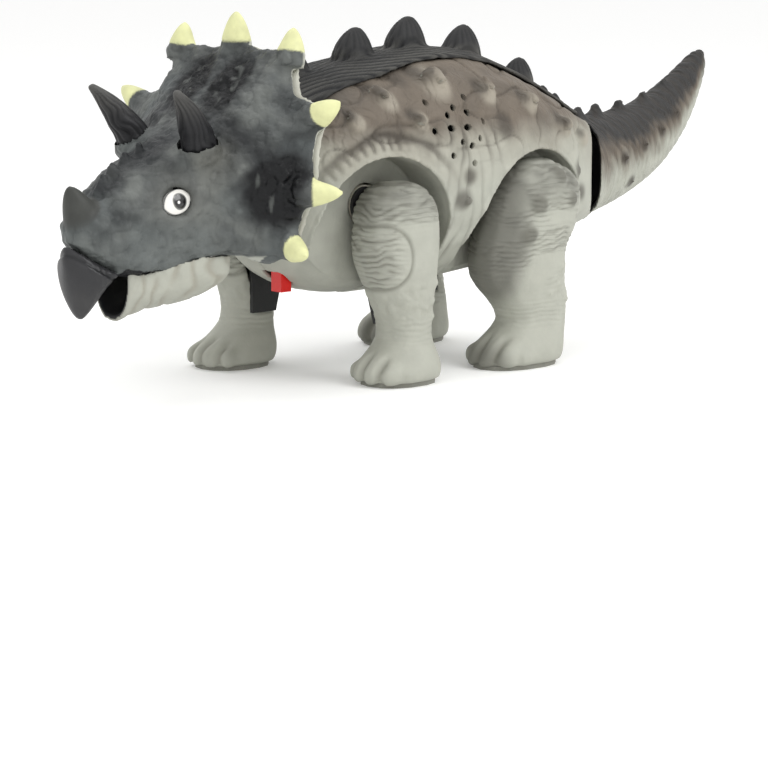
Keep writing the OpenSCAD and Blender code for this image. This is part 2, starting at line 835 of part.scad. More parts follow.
// Skull and frill with the frill's spikes
module head_skin() {
    loft([for (r = head_rows) head_ring(r)]);
    frill_spike_cone(frill_centre_spike);
    for (s = frill_spikes, side = [1, -1])
        on_side(side)
            frill_spike_cone(s);
}
jaw_gap_half_w = 13;
module head_shell() {
    color(slate)
        in_head()
            difference() {
                union() {
                    head_skin();
                    for (k = crest_knobs)
                        blunt_cone([k[0], 0, k[1] - 3], [k[0], 0, k[1]], k[2], k[2] * 0.7, 6);
                    nose_horn();
                    for (side = [1, -1])
                        on_side(side)
                            horn_socket();
                }
                for (side = [1, -1])
                    on_side(side) {
                        horn_solid(seat_gap);
                        eye_pocket();
                    }
                translate([96, -jaw_gap_half_w, 40])
                    cube([44, 2 * jaw_gap_half_w, jaw_hinge_z - 35]);
                translate([neck_x - 30, -jaw_gap_half_w, 30])
                    cube([40, 2 * jaw_gap_half_w, 25]);
            }
}
nose_horn_tip = [162.2, 0, 75];
module nose_horn() {
    hull() {
        translate([155, 0, 66])
            sphere(r = 5.4, $fn = 10);
        translate([159.5, 0, 64])
            sphere(r = 3.6, $fn = 10);
        translate(nose_horn_tip)
            sphere(r = 1.3, $fn = 8);
    }
}
module horn_socket() {
    hull() {
        translate(horn_base + [-1, -2, -3])
            sphere(r = horn_base_r + 2.2, $fn = 10);
        translate(horn_base + [0.4, 0.4, 0.4])
            rotate([0, horn_turn(0), 0])
                cylinder(r = horn_base_r + 1.2, h = 0.6, $fn = 14);
    }
}

// Pale lining behind the frill, open in the middle for the neck
lining_t = 2;
lining_gap = 0.5;
module frill_back() {
    rim = [frill_row[0] - 3.2, 53, frill_row[2] - 2.8, frill_top_z - 1.2, frill_half_width - 1, 0.86, 0.54, 1];
    hole = [100.2, 53.5, 88.8, 107, 36, 0.86, 0.52, 0.6];
    color(pale_grey)
        in_head()
            difference() {
                loft([
                    head_ring(rim), head_ring(rim - [lining_t, 0, lining_t, 0, 0, 0, 0, 0]),
                    head_ring(hole - [lining_t, 0, lining_t, 0, 0, 0, 0, 0]), head_ring(hole)
                ], looped = true);
                head_skin();
                translate([-lining_gap, 0, 0])
                    head_skin();
                translate([neck_x - 30, -jaw_gap_half_w, 30])
                    cube([40, 2 * jaw_gap_half_w, 25]);
            }
}

module brow_horn(side) {
    color(black)
        in_head()
            on_side(side)
                horn_solid(0);
}
module eye(side) {
    color("white")
        in_head()
            on_side(side)
                eye_solid();
}

// Hooked beak under the nose: x, lowest z, half width, how much it narrows downwards
beak_rows = [
    [164.8, 50.5, 0.8, 0.1], [163.6, 44.5, 3.6, 0.2], [162.2, 38, 6, 0.35], [160.5, 33.4, 7.6, 0.5],
    [158, 31, 8.6, 0.6], [155.6, 34, 9.2, 0.5], [152.5, 40.5, 9.8, 0.3], [148.6, 45.2, 10, 0.1]
];
beak_top_z = 56.8;
beak_nose_drop = 2;
function beak_top(x) =
    min(lip_z(x), beak_top_z) - seat_gap - (x > beak_rows[1][0] ? beak_nose_drop : 0);
module beak() {
    color(black)
        in_head()
            loft([
                for (r = smooth_rows(beak_rows, 2))
                    let (top = beak_top(r[0]))
                        ring([r[0], 0, (r[1] + top) / 2], [0, r[2], 0], [0, 0, (top - r[1]) / 2], 0.9, 24, r[3])
            ]);
}

// Frame inside the head: ears on the neck pin and arms for the jaw pin
ear_t = 4;
ear_half_w = 7;
neck_ear_gap = neck_lug_half_h + moving_gap;
frame_plate_x = 100.5;
frame_plate_t = 3;
arm_inner_y = 9;
arm_t = 3;
arm_half_h = 4.5;
module head_frame() {
    color(black)
        in_head()
            difference() {
                union() {
                    for (z = [neck_z + neck_ear_gap, neck_z - neck_ear_gap - ear_t]) {
                        translate([neck_x, -ear_half_w, z])
                            cube([frame_plate_x - neck_x + 1, 2 * ear_half_w, ear_t]);
                        translate([neck_x, 0, z])
                            cylinder(r = ear_half_w, h = ear_t);
                    }
                    translate([frame_plate_x, -arm_inner_y - arm_t, jaw_hinge_z - arm_half_h])
                        cube([
                            frame_plate_t, 2 * (arm_inner_y + arm_t),
                            neck_z + neck_ear_gap + ear_t - jaw_hinge_z + arm_half_h
                        ]);
                    for (side = [1, -1])
                        on_side(side)
                            head_arm();
                }
                translate([neck_x, 0, neck_z - 30])
                    cylinder(d = neck_pin_d + 2 * running_gap, h = 60);
                bar_y(jaw_hinge_x, jaw_hinge_z, -40, 40, jaw_pin_d);
            }
}
module head_arm() {
    translate([frame_plate_x, arm_inner_y, jaw_hinge_z - arm_half_h])
        cube([jaw_hinge_x - frame_plate_x, arm_t, 2 * arm_half_h]);
    bar_y(jaw_hinge_x, jaw_hinge_z, arm_inner_y, arm_inner_y + arm_t, 2 * arm_half_h);
}
module jaw_pin() {
    color(steel)
        in_head()
            bar_y(jaw_hinge_x, jaw_hinge_z, -arm_inner_y - arm_t, arm_inner_y + arm_t, jaw_pin_d);
}

// Lower jaw: an open trough that narrows to a pointed lip
jaw_rows = [
    [144, 28.8, 9.4], [138, 31, 12], [130, 32.4, 15.4], [120, 33.2, 18.8], [113, 35.2, 21.4],
    [108.6, 38.4, 22.8]
];
jaw_rim_gap = 0.5;
jaw_wall = 2;
module jaw_loft(grow) {
    rows = smooth_rows(jaw_rows, 2);
    loft([
        for (i = [0 : len(rows) - 1])
            let (
                r = rows[i],
                last = len(rows) - 1,
                x = r[0] + (grow < 0 && i == 0 ? 1 : 0) - (grow < 0 && i == last ? 2 : 0)
            )
                ring([x, 0, 48], [0, r[2] + grow, 0], [0, 0, 48 - r[1] + grow], 0.85, 24)
    ]);
}
module lower_jaw() {
    color(pale_grey)
        in_head()
            intersection() {
                difference() {
                    union() {
                        jaw_loft(0);
                        for (x = [114 : 6 : 138], side = [1, -1])
                            jaw_fold(x, side);
                    }
                    jaw_loft(-jaw_wall);
                    for (gap = [0, jaw_rim_gap])
                        translate([0, 0, -gap])
                            loft([for (i = [0 : frill_index]) head_ring(head_rows[i])]);
                }
                translate([jaw_rows[5][0] - 10, -60, 0])
                    cube([60, 120, jaw_hinge_z - jaw_rim_gap - 2]);
            }
}
// Upright skin fold on the side of the jaw
module jaw_fold(x, side) {
    w = row_at(jaw_rows, x, 2);
    low = row_at(jaw_rows, x, 1);
    hull() {
        translate([x, side * (w - 1.2), 44])
            sphere(r = 1.5, $fn = 6);
        translate([x - 2, side * (w * 0.84 - 1.2), low + 5])
            sphere(r = 1.2, $fn = 6);
    }
}
jaw_lug_y = 5;
jaw_lug_t = arm_inner_y - jaw_lug_y - moving_gap;
jaw_lug_r = 3.6;
module jaw_bracket() {
    color(black)
        in_head()
            difference() {
                union() {
                    for (side = [1, -1])
                        on_side(side)
                            jaw_lug();
                    translate([113, -jaw_lug_y - jaw_lug_t, 40])
                        cube([10, 2 * (jaw_lug_y + jaw_lug_t), 2]);
                }
                bar_y(jaw_hinge_x, jaw_hinge_z, -40, 40, jaw_pin_d + 2 * running_gap);
            }
}
module jaw_lug() {
    bar_y(jaw_hinge_x, jaw_hinge_z, jaw_lug_y, jaw_lug_y + jaw_lug_t, 2 * jaw_lug_r);
    along_y(jaw_lug_y, jaw_lug_y + jaw_lug_t)
        polygon([
            [jaw_hinge_x + jaw_lug_r, jaw_hinge_z], [jaw_hinge_x - jaw_lug_r, jaw_hinge_z], [113, 40], [121, 40]
        ]);
}

// Legs: lofts from sole to hip: height, forward offset, half length, half thickness
front_leg_rows = [
    [0, 0, 15.6, 13.2], [5, 0, 16.4, 13.8], [10, -1.6, 13.6, 12.4], [16, -3.2, 9.6, 10.4],
    [24, -2.8, 9.8, 10.6], [33, -1.6, 12.6, 12.2], [44, 0, 15.8, 13.6], [55, 0, 16.6, 14],
    [63, 0, 15.4, 13.2], [69, 0, 11, 10.5], [72, 0, 4, 5]
];
rear_leg_rows = [
    [0, -1.4, 18.8, 13.2], [5, -1.4, 19.6, 13.8], [10, -3, 17.3, 12.8], [17, -5.8, 13.8, 11.2],
    [25, -1.3, 17.1, 11.4], [34, 5.2, 20.4, 12.8], [44, 7.2, 21.4, 13.6], [54, 3.7, 21.7, 14.2],
    [64, 1.3, 20.6, 13.6], [71, 1, 14.8, 11], [75.5, 1.2, 6, 5]
];
front_foot_forward = 4.8;
rear_foot_forward = 5.7;
leg_half_y = 14;
leg_y = leg_outer_y - leg_half_y;
panel_low_z = 20;
function leg_rows(front) = front ? front_leg_rows : rear_leg_rows;
function leg_hip(front) = front ? front_hip_x : rear_hip_x;
// Forward shift of a leg's axis at a height, from its place at the sole to its place at the hip
function leg_shift(front, step, z) =
    let (
        sole = (front ? front_foot_forward : rear_foot_forward) + step * (front ? front_stride : rear_stride),
        hip = step * (front ? front_hip_shift : rear_hip_shift)
    )
        sole + (hip - sole) * min(z, hip_z) / hip_z;
module leg_loft(front, step, grow) {
    rows = smooth_rows(leg_rows(front), grow < 0 ? 1 : 2);
    loft([
        for (i = [0 : len(rows) - 1])
            let (
                r = rows[i],
                z = r[0] + (i == 0 ? foot_pad_t : 0) + (grow < 0 && i == 0 ? shell_wall : 0)
                    + (grow < 0 && i == len(rows) - 1 ? grow : 0)
            )
                ring([leg_hip(front) + r[1] + leg_shift(front, step, r[0]), leg_y, z],
                    [max(r[2] + grow, 1), 0, 0], [0, -max(r[3] + grow, 1), 0], leg_square, leg_sides)
    ]);
}
// Toes: sideways place, forward reach, radius
toes = [[-8, 10.5, 4.6], [-1, 13, 5], [6, 11.5, 4.6], [10.5, 6, 4]];
// Bumps low on the leg: height, angle round the leg from the front, radius
leg_bumps = [[30, 115, 2], [24, 130, 2.2], [36, 125, 2.2], [27, 95, 2]];
module leg(front, step) {
    x = leg_hip(front);
    color(pale_grey)
        difference() {
            union() {
                leg_loft(front, step, 0);
                intersection() {
                    for (t = toes)
                        toe(x + leg_shift(front, step, 0), t);
                    translate([x - 60, leg_y - 40, foot_pad_t])
                        cube([120, 80, 20]);
                }
                for (b = leg_bumps)
                    leg_bump(front, step, b);
            }
            leg_loft(front, step, -shell_wall);
            translate([x - 60, -100, panel_low_z])
                cube([120, 100 + drive_plate_y + drive_plate_t, 100]);
        }
}
module toe(x, t) {
    hull() {
        translate([x + t[1] - 1, leg_y + t[0], 4])
            sphere(r = t[2], $fn = 7);
        translate([x + t[1] - 9, leg_y + t[0] * 0.8, 9])
            sphere(r = t[2] * 0.8, $fn = 7);
    }
}
module leg_bump(front, step, b) {
    rows = leg_rows(front);
    a = b[1];
    place = [
        leg_hip(front) + row_at(rows, b[0], 1) + leg_shift(front, step, b[0])
            + row_at(rows, b[0], 2) * squared(cos(a), leg_square),
        leg_y + row_at(rows, b[0], 3) * squared(sin(a), leg_square),
        b[0]
    ];
    out = [cos(a), sin(a), 0];
    blunt_cone(place - out * 1.2, place + out * 0.6, b[2], b[2] * 0.5, 6);
}

// Sideways place of the crank slot over the hip in this step
function crank_shift(front, step) =
    -step * (front ? front_stride - front_hip_shift : rear_stride - rear_hip_shift) * crank_rise / hip_z;

// Black plate on the inner face of a leg: hip bore and crank slot
slot_half_l = 4.4;
slot_half_w = 1.9;
plate_half_w = 9.5;
plate_low_half_w = 5.5;
plate_top_r = 6.6;
module drive_plate(front, step) {
    x = leg_hip(front);
    shift = leg_shift(front, step, panel_low_z) + row_at(leg_rows(front), panel_low_z, 1);
    hip_shift = leg_shift(front, step, hip_z);
    slot_x = x + crank_shift(front, step);
    color(black)
        along_y(drive_plate_y, drive_plate_y + drive_plate_t)
            difference() {
                union() {
                    translate([x + hip_shift, hip_z])
                        circle(r = plate_half_w);
                    translate([slot_x, crank_z])
                        circle(r = plate_top_r);
                    polygon([
                        [x + shift - plate_low_half_w, panel_low_z + seat_gap],
                        [x + shift + plate_low_half_w, panel_low_z + seat_gap],
                        [x + hip_shift + plate_half_w, hip_z], [slot_x + plate_top_r, crank_z],
                        [slot_x - plate_top_r, crank_z], [x + hip_shift - plate_half_w, hip_z]
                    ]);
                }
                translate([x, hip_z])
                    circle(d = hip_axle_d + 2 * running_gap);
                translate([slot_x, crank_z])
                    slot_outline();
            }
}
module slot_outline() {
    square([2 * slot_half_w, 2 * (slot_half_l - slot_half_w)], center = true);
    for (up = [1, -1])
        translate([0, up * (slot_half_l - slot_half_w)])
            circle(r = slot_half_w);
}
pad_inset = 1.5;
module foot_pad(front, step) {
    r = leg_rows(front)[0];
    color("#4a4a48")
        linear_extrude(foot_pad_t)
            polygon([
                for (p = ring([leg_hip(front) + r[1] + leg_shift(front, step, 0), leg_y, 0],
                    [r[2] - pad_inset, 0, 0], [0, r[3] - pad_inset, 0], leg_square, leg_sides))
                    [p[0], p[1]]
            ]);
}

// Gear train between two plates on the right of the middle line

main_teeth = 68;
crank_teeth = 24;
last_teeth = 12;
second_teeth = 40;
first_teeth = 40;
small_teeth = 10;
mesh_gap = 0.08;
plate_t = 1.2;
right_plate_y = -(pocket_y - pocket_wall) + 0.1;
lane_gap = 0.4;
main_lane_y = right_plate_y + plate_t + lane_gap;
second_lane_y = main_lane_y + gear_w + lane_gap;
first_lane_y = second_lane_y + gear_w + lane_gap;
left_plate_y = first_lane_y + gear_w + lane_gap;
motor_y = left_plate_y + plate_t;
axle_low_y = right_plate_y;

// Distance between two meshing gears
function mesh_distance(a, b, m) = (a + b) * m / 2 + mesh_gap;
crank_mesh = mesh_distance(main_teeth, crank_teeth, coarse_module);
main_x = (front_hip_x + rear_hip_x) / 2;
main_z = crank_z + sqrt(pow(crank_mesh, 2) - pow((front_hip_x - rear_hip_x) / 2, 2));
second_angle = 140;
second_x = main_x + mesh_distance(main_teeth, last_teeth, coarse_module) * cos(second_angle);
second_z = main_z + mesh_distance(main_teeth, last_teeth, coarse_module) * sin(second_angle);
first_angle = 28;
first_x = second_x + mesh_distance(second_teeth, small_teeth, fine_module) * cos(first_angle);
first_z = second_z + mesh_distance(second_teeth, small_teeth, fine_module) * sin(first_angle);
motor_angle = -30;
motor_x = first_x + mesh_distance(first_teeth, small_teeth, fine_module) * cos(motor_angle);
motor_z = first_z + mesh_distance(first_teeth, small_teeth, fine_module) * sin(motor_angle);

// Angle that puts a gear's tooth gap on a tooth of the gear it meshes with
function mesh_turn(direction, turn, teeth, other_teeth) =
    let (part = (direction - turn) * teeth / 360)
        direction + 180 + (part - floor(part) + 0.5) * 360 / other_teeth;
front_direction = atan2(crank_z - main_z, front_hip_x - main_x);
rear_direction = atan2(crank_z - main_z, rear_hip_x - main_x);
front_gear_turn = mesh_turn(front_direction, 0, main_teeth, crank_teeth);
rear_gear_turn = mesh_turn(rear_direction, 0, main_teeth, crank_teeth);
second_turn = mesh_turn(second_angle, 0, main_teeth, last_teeth);
first_turn = mesh_turn(first_angle, second_turn, second_teeth, small_teeth);
pinion_turn = mesh_turn(motor_angle, first_turn, first_teeth, small_teeth);

// Gear seen along Y, with straight-sided teeth
module gear_outline(teeth, m, turn) {
    r = teeth * m / 2;
    pitch = 360 / teeth;
    polygon([
        for (i = [0 : teeth - 1], c = [[-0.3, -1.2], [-0.12, 0.85], [0.12, 0.85], [0.3, -1.2]])
            let (a = turn + (i + c[0]) * pitch)
                (r + c[1] * m) * [cos(a), sin(a)]
    ]);
}
module gear(x, z, y, teeth, m, turn, bore) {
    translate([x, 0, z])
        along_y(y, y + gear_w)
            difference() {
                gear_outline(teeth, m, turn);
                circle(d = bore);
            }
}
turning_bore = gear_axle_d + 2 * running_gap;
module main_gear() {
    color(nylon)
        gear(main_x, main_z, main_lane_y, main_teeth, coarse_module, 0, turning_bore);
}
module second_gear() {
    color(nylon) {
        gear(second_x, second_z, main_lane_y, last_teeth, coarse_module, second_turn, turning_bore);
        gear(second_x, second_z, second_lane_y, second_teeth, fine_module, second_turn, turning_bore);
        gear_hub(second_x, second_z, main_lane_y + gear_w, second_lane_y);
    }
}
module first_gear() {
    color(nylon) {
        gear(first_x, first_z, second_lane_y, small_teeth, fine_module, first_turn, turning_bore);
        gear(first_x, first_z, first_lane_y, first_teeth, fine_module, first_turn, turning_bore);
        gear_hub(first_x, first_z, second_lane_y + gear_w, first_lane_y);
    }
}
// Collar that joins the two wheels of a compound gear
hub_wall = 0.55;
module gear_hub(x, z, y0, y1) {
    difference() {
        bar_y(x, z, y0, y1, turning_bore + 2 * hub_wall);
        bar_y(x, z, y0 - 1, y1 + 1, turning_bore);
    }
}
motor_shaft_d = 1.6;
module motor_pinion() {
    color(brass)
        gear(motor_x, motor_z, first_lane_y, small_teeth, fine_module, pinion_turn,
            motor_shaft_d + 2 * running_gap);
}
module motor_can() {
    color(steel) {
        bar_y(motor_x, motor_z, motor_y, motor_y + motor_length, motor_d);
        bar_y(motor_x, motor_z, first_lane_y, motor_y, motor_shaft_d);
    }
}
module gear_axles() {
    color(steel) {
        bar_y(main_x, main_z, axle_low_y, left_plate_y + plate_t, gear_axle_d);
        bar_y(second_x, second_z, axle_low_y, left_plate_y + plate_t, gear_axle_d);
        bar_y(first_x, first_z, axle_low_y, left_plate_y + plate_t, gear_axle_d);
    }
}

// Gearbox plates and pillars
plate_edge = 9;
pillar_d = 4;
pillar_places = [[main_x + 24, main_z + 23], [main_x - 33.5, main_z + 6]];
module plate_bores() {
    for (p = [[main_x, main_z], [second_x, second_z], [first_x, first_z]])
        translate(p)
            circle(d = gear_axle_d);
}
module gearbox_plate_right() {
    color(black)
        along_y(right_plate_y, right_plate_y + plate_t)
            difference() {
                union() {
                    translate([rear_hip_x - 4, crank_z - 5])
                        square([front_hip_x - rear_hip_x + 8, 14]);
                    translate([main_x - 36, crank_z])
                        square([66, second_z + plate_edge - crank_z]);
                }
                plate_bores();
                for (x = [front_hip_x, rear_hip_x])
                    translate([x, crank_z])
                        circle(d = crankshaft_d + 2 * running_gap);
            }
}
module gearbox_plate_left() {
    color(black)
        along_y(left_plate_y, left_plate_y + plate_t)
            difference() {
                translate([main_x - 36, crank_z + crankshaft_d])
                    square([66, second_z + plate_edge - crank_z - crankshaft_d]);
                plate_bores();
                translate([motor_x, motor_z])
                    circle(d = motor_shaft_d + 2);
            }
}
module gearbox_pillars() {
    color(black)
        for (p = pillar_places)
            bar_y(p[0], p[1], right_plate_y + plate_t, left_plate_y, pillar_d);
}

// Crankshafts: gear on the right, a disc with an offset pin at each end
crank_pin_d = 3;
crank_pin_reach = drive_plate_y - 0.3;
disc_inner_y = pocket_y - pocket_wall;
module crankshaft(x) {
    color(steel)
        bar_y(x, crank_z, -disc_inner_y, disc_inner_y, crankshaft_d);
}
module crank_gear(x, turn) {
    color(nylon)
        gear(x, crank_z, main_lane_y, crank_teeth, coarse_module, turn, crankshaft_d);
}
// The pins stand where the legs' slots are in this pose
module crank_discs(x, front) {
    shift = crank_shift(front, front ? -1 : 1);
    lift = sqrt(pow(crank_throw, 2) - pow(min(abs(shift), crank_throw), 2));
    color(nylon)
        for (side = [1, -1])
            on_side(side) {
                bar_y(x, crank_z, disc_inner_y, pocket_y, 2 * crank_disc_r);
                bar_y(x + side * shift, crank_z + side * lift, pocket_y, crank_pin_reach, crank_pin_d);
            }
}
module hip_axle(x) {
    color(steel)
        bar_y(x, hip_z, -leg_y - 2, leg_y + 2, hip_axle_d);
}

// Battery box over the belly, cells, contacts and door
cell_z = box_floor_z + (cell_d + cell_gap) / 2;
boss_d = 6;
boss_x = box_x0 - 5;
boss_low_z = row_at(body_rows, boss_x, 1);
door_screw_d = 2;
module battery_box() {
    color(black)
        difference() {
            union() {
                translate([box_x0, box_y - box_w / 2, box_floor_z])
                    cube([box_x1 - box_x0, box_w, box_top_z - box_floor_z]);
                translate([boss_x, box_y, box_floor_z])
                    cylinder(d = boss_d, h = 8);
                translate([boss_x, box_y - 1.5, box_floor_z])
                    cube([box_x0 - boss_x + 0.5, 3, 8]);
            }
            translate([box_x0 + box_wall, box_y - box_inner_w / 2, box_floor_z - 1])
                cube([box_inner_l, box_inner_w, cell_d + cell_gap + 1]);
            translate([boss_x, box_y, box_floor_z - 1])
                cylinder(d = door_screw_d, h = 8);
        }
}
cell_nub_d = 5.5;
cell_nub_t = 1;
contact_t = 0.4;
module battery_cells() {
    color("#3d6a3f")
        for (side = [1, -1])
            translate([(box_x0 + box_x1 - cell_length) / 2, box_y + side * (cell_d + cell_gap) / 2, cell_z])
                rotate([0, 90, 0]) {
                    translate([0, 0, side > 0 ? 0 : cell_nub_t])
                        cylinder(d = cell_d, h = cell_length - cell_nub_t);
                    translate([0, 0, side > 0 ? cell_length - cell_nub_t : 0])
                        cylinder(d = cell_nub_d, h = cell_nub_t);
                }
}
spring_d = 6;
module battery_contacts() {
    reach = (box_inner_l - cell_length) / 2;
    color(steel)
        for (side = [1, -1], end = [0, 1]) {
            y = box_y + side * (cell_d + cell_gap) / 2;
            x = end == 0 ? box_x0 + box_wall : box_x1 - box_wall - contact_t;
            translate([x, y - 5, cell_z - 5])
                cube([contact_t, 10, 10]);
            translate([end == 0 ? x + contact_t : x - reach + contact_t, y, cell_z])
                rotate([0, 90, 0])
                    cylinder(d = spring_d, h = reach - contact_t);
        }
}
door_ribs = 8;
module battery_door() {
    color(pale_grey)
        difference() {
            union() {
                intersection() {
                    difference() {
                        body_loft(0);
                        body_loft(-shell_wall);
                    }
                    door_opening(seat_gap);
                }
                for (i = [0 : door_ribs - 1])
                    door_rib(box_x0 + 4 + i * (box_x1 - box_x0 - 8) / (door_ribs - 1));
                translate([boss_x, box_y, row_at(body_rows, boss_x, 1) + shell_wall - 1])
                    cylinder(d = boss_d, h = box_floor_z - boss_low_z - shell_wall + 1 - seat_gap);
            }
            translate([boss_x, box_y, 0])
                cylinder(d = door_screw_d + 2 * seat_gap, h = box_floor_z + 2);
            translate([boss_x, box_y, 0])
                cylinder(d = 4.6, h = row_at(body_rows, boss_x, 1) + shell_wall);
        }
}
// Cross rib inside the door, on which the box stands
module door_rib(x) {
    low = row_at(body_rows, x, 1) + shell_wall - 0.5;
    hull()
        for (side = [1, -1])
            translate([x, box_y + side * (box_w / 2 - 6), low])
                cylinder(d = 1.4, h = box_floor_z - low - seat_gap, $fn = 8);
}
module battery_door_screw() {
    low = row_at(body_rows, boss_x, 1) + shell_wall;
    color(steel)
        translate([boss_x, box_y, low - 1.6]) {
            cylinder(d = 4, h = 1.6);
            cylinder(d = door_screw_d, h = box_floor_z + 6 - low);
        }
}

// Circuit board on the battery box
board_t = 1.6;
board_l = 36;
board_w = 22;
board_x = 4;
standoff = 2;
module circuit_board() {
    color(board_green) {
        translate([board_x, box_y - board_w / 2, box_top_z + standoff])
            cube([board_l, board_w, board_t]);
        for (dx = [3, board_l - 3], side = [1, -1])
            translate([board_x + dx, box_y + side * (board_w / 2 - 3), box_top_z])
                cylinder(d = 4, h = standoff);
        translate([board_x + 10, box_y - 4, box_top_z + standoff + board_t])
            cube([8, 8, 1.4]);
        translate([board_x + 26, box_y + 4, box_top_z + standoff + board_t])
            cylinder(d = 5, h = 6);
    }
}
magnet_d = 14;
module speaker() {
    color(black) {
        bar_y(speaker_x, speaker_z, speaker_outer_y - speaker_t, speaker_outer_y, speaker_d);
        bar_y(speaker_x, speaker_z, speaker_outer_y - speaker_t - 3, speaker_outer_y - speaker_t, magnet_d);
    }
}

// Slide switch under the chest
housing_l = 8.4;
housing_w = 22;
housing_h = 4.4;
housing_back = 6.8;
housing_low_z = knob_top_z + moving_gap;
module switch_housing() {
    color(black)
        translate([knob_x - housing_back, knob_rest_y - knob_travel / 2 - housing_w / 2, housing_low_z])
            cube([housing_l, housing_w, housing_h]);
}
module switch_knob() {
    color(signal_red)
        translate([knob_x - knob_length / 2, knob_rest_y - knob_width / 2, knob_low_z])
            cube([knob_length, knob_width, knob_top_z - knob_low_z]);
}

body_shell(1);  // body_shell_left
body_shell(-1);  // body_shell_right
dorsal_ridge();
body_screws();
neck_post();
neck_pin();
tail_post();
tail_pin();
hip_axle(front_hip_x);  // front_hip_axle
hip_axle(rear_hip_x);  // rear_hip_axle
gearbox_plate_left();
gearbox_plate_right();
gearbox_pillars();
gear_axles();
motor_can();
motor_pinion();
first_gear();
second_gear();
main_gear();
crankshaft(front_hip_x);  // front_crankshaft
crank_gear(front_hip_x, front_gear_turn);  // front_crank_gear
crank_discs(front_hip_x, true);  // front_crank_discs
crankshaft(rear_hip_x);  // rear_crankshaft
crank_gear(rear_hip_x, rear_gear_turn);  // rear_crank_gear
crank_discs(rear_hip_x, false);  // rear_crank_discs
battery_box();
battery_cells();
battery_contacts();
battery_door();
battery_door_screw();
circuit_board();
speaker();
switch_housing();
switch_knob();
head_shell();
frill_back();
head_frame();
beak();
brow_horn(1);  // brow_horn_left
brow_horn(-1);  // brow_horn_right
eye(1);  // eye_left
eye(-1);  // eye_right
jaw_pin();
lower_jaw();
jaw_bracket();
tail_shell();
tail_yoke();
leg(true, -1);  // left_front_leg
on_side(-1) leg(true, 1);  // right_front_leg
leg(false, 1);  // left_rear_leg
on_side(-1) leg(false, -1);  // right_rear_leg
drive_plate(true, -1);  // left_front_drive_plate
on_side(-1) drive_plate(true, 1);  // right_front_drive_plate
drive_plate(false, 1);  // left_rear_drive_plate
on_side(-1) drive_plate(false, -1);  // right_rear_drive_plate
foot_pad(true, -1);  // left_front_foot_pad
on_side(-1) foot_pad(true, 1);  // right_front_foot_pad
foot_pad(false, 1);  // left_rear_foot_pad
on_side(-1) foot_pad(false, -1);  // right_rear_foot_pad
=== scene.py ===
# Walking toy dinosaur: sculpted skins, painted finishes, studio and camera.
import json
import math
import bmesh
import bpy
import numpy as np
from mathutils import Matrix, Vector


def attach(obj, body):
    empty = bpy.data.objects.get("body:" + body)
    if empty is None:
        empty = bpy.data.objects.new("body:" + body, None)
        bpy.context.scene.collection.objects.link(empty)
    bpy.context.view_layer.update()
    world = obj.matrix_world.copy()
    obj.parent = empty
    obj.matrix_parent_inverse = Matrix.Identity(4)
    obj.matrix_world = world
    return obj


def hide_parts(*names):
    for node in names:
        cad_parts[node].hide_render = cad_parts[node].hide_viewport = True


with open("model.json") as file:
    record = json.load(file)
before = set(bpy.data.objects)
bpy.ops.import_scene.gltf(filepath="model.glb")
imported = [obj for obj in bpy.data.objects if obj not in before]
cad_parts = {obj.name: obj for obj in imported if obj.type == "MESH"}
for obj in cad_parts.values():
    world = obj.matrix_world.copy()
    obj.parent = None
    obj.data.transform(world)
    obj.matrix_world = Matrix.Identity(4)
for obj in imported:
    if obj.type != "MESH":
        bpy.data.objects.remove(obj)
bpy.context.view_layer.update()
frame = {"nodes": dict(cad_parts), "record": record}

# Places in millimetres, shared by several pieces
headTurn = {"centre": (90.0, 0.0), "degrees": 5.9}
headFacing = {"centre": (0.0, 0.0), "degrees": headTurn["degrees"]}  # the same turn, for directions
tailTurn = {"centre": (-72.0, 0.0), "degrees": 6.6}
frontHip = 44.7
rearHip = -26.2
hipHeight = 50.0
legMiddle = 34.0
tiny = 1e-6  # keeps a length that is divided by above zero


# Colour, number and noise helpers
def linear(text):
    parts = [int(text[i:i + 2], 16) / 255 for i in (1, 3, 5)]
    return np.array([c / 12.92 if c <= 0.04045 else ((c + 0.055) / 1.055) ** 2.4 for c in parts])


def smoothStep(low, high, value):
    t = np.clip((value - low) / (high - low), 0, 1)
    return t * t * (3 - 2 * t)


# Coats of paint over a base colour, each with the share of it that shows at every point
def brushed(base, coats):
    colour = base
    for over, share in coats:
        colour = colour + (over - colour) * np.asarray(share)[:, None]
    return colour


def lattice(cell, seed):
    h = cell[:, 0] * 374761393 + cell[:, 1] * 668265263 + cell[:, 2] * 1442695041 + seed * 974634
    h = (h ^ (h >> 13)) & 0xffffffff
    h = (h * 1274126177) & 0xffffffff
    return ((h ^ (h >> 16)) & 0xffff) / 65535.0


# Smooth noise from 0 to 1 with lumps of a size in millimetres
def noise(points, size, seed=0):
    scaled = points / np.asarray(size, float)
    cell = np.floor(scaled).astype(np.int64)
    f = scaled - cell
    f = f * f * (3 - 2 * f)
    total = np.zeros(len(points))
    for corner in range(8):
        step = np.array([corner & 1, corner >> 1 & 1, corner >> 2 & 1])
        weight = np.prod(np.where(step, f, 1 - f), axis=1)
        total += weight * lattice(cell + step, seed)
    return total


# Narrow grooves that repeat once per unit of the phase
def grooves(phase, sharpness=3):
    return (0.5 + 0.5 * np.cos(2 * np.pi * phase)) ** sharpness


# Points turned about an upright line, from straight ahead to where the piece stands
def turnedOut(points, turn, way=1):
    a = math.radians(way * turn["degrees"])
    cx, cy = turn["centre"]
    x, y = points[:, 0] - cx, points[:, 1] - cy
    return np.column_stack([
        cx + x * math.cos(a) - y * math.sin(a), cy + x * math.sin(a) + y * math.cos(a), points[:, 2]])


def turnedBack(points, turn):
    return turnedOut(points, turn, -1)


def ellipseMask(a, b, centre, radii, soft=0.35):
    d = np.hypot((a - centre[0]) / radii[0], (b - centre[1]) / radii[1])
    return 1 - smoothStep(1 - soft, 1 + soft, d)


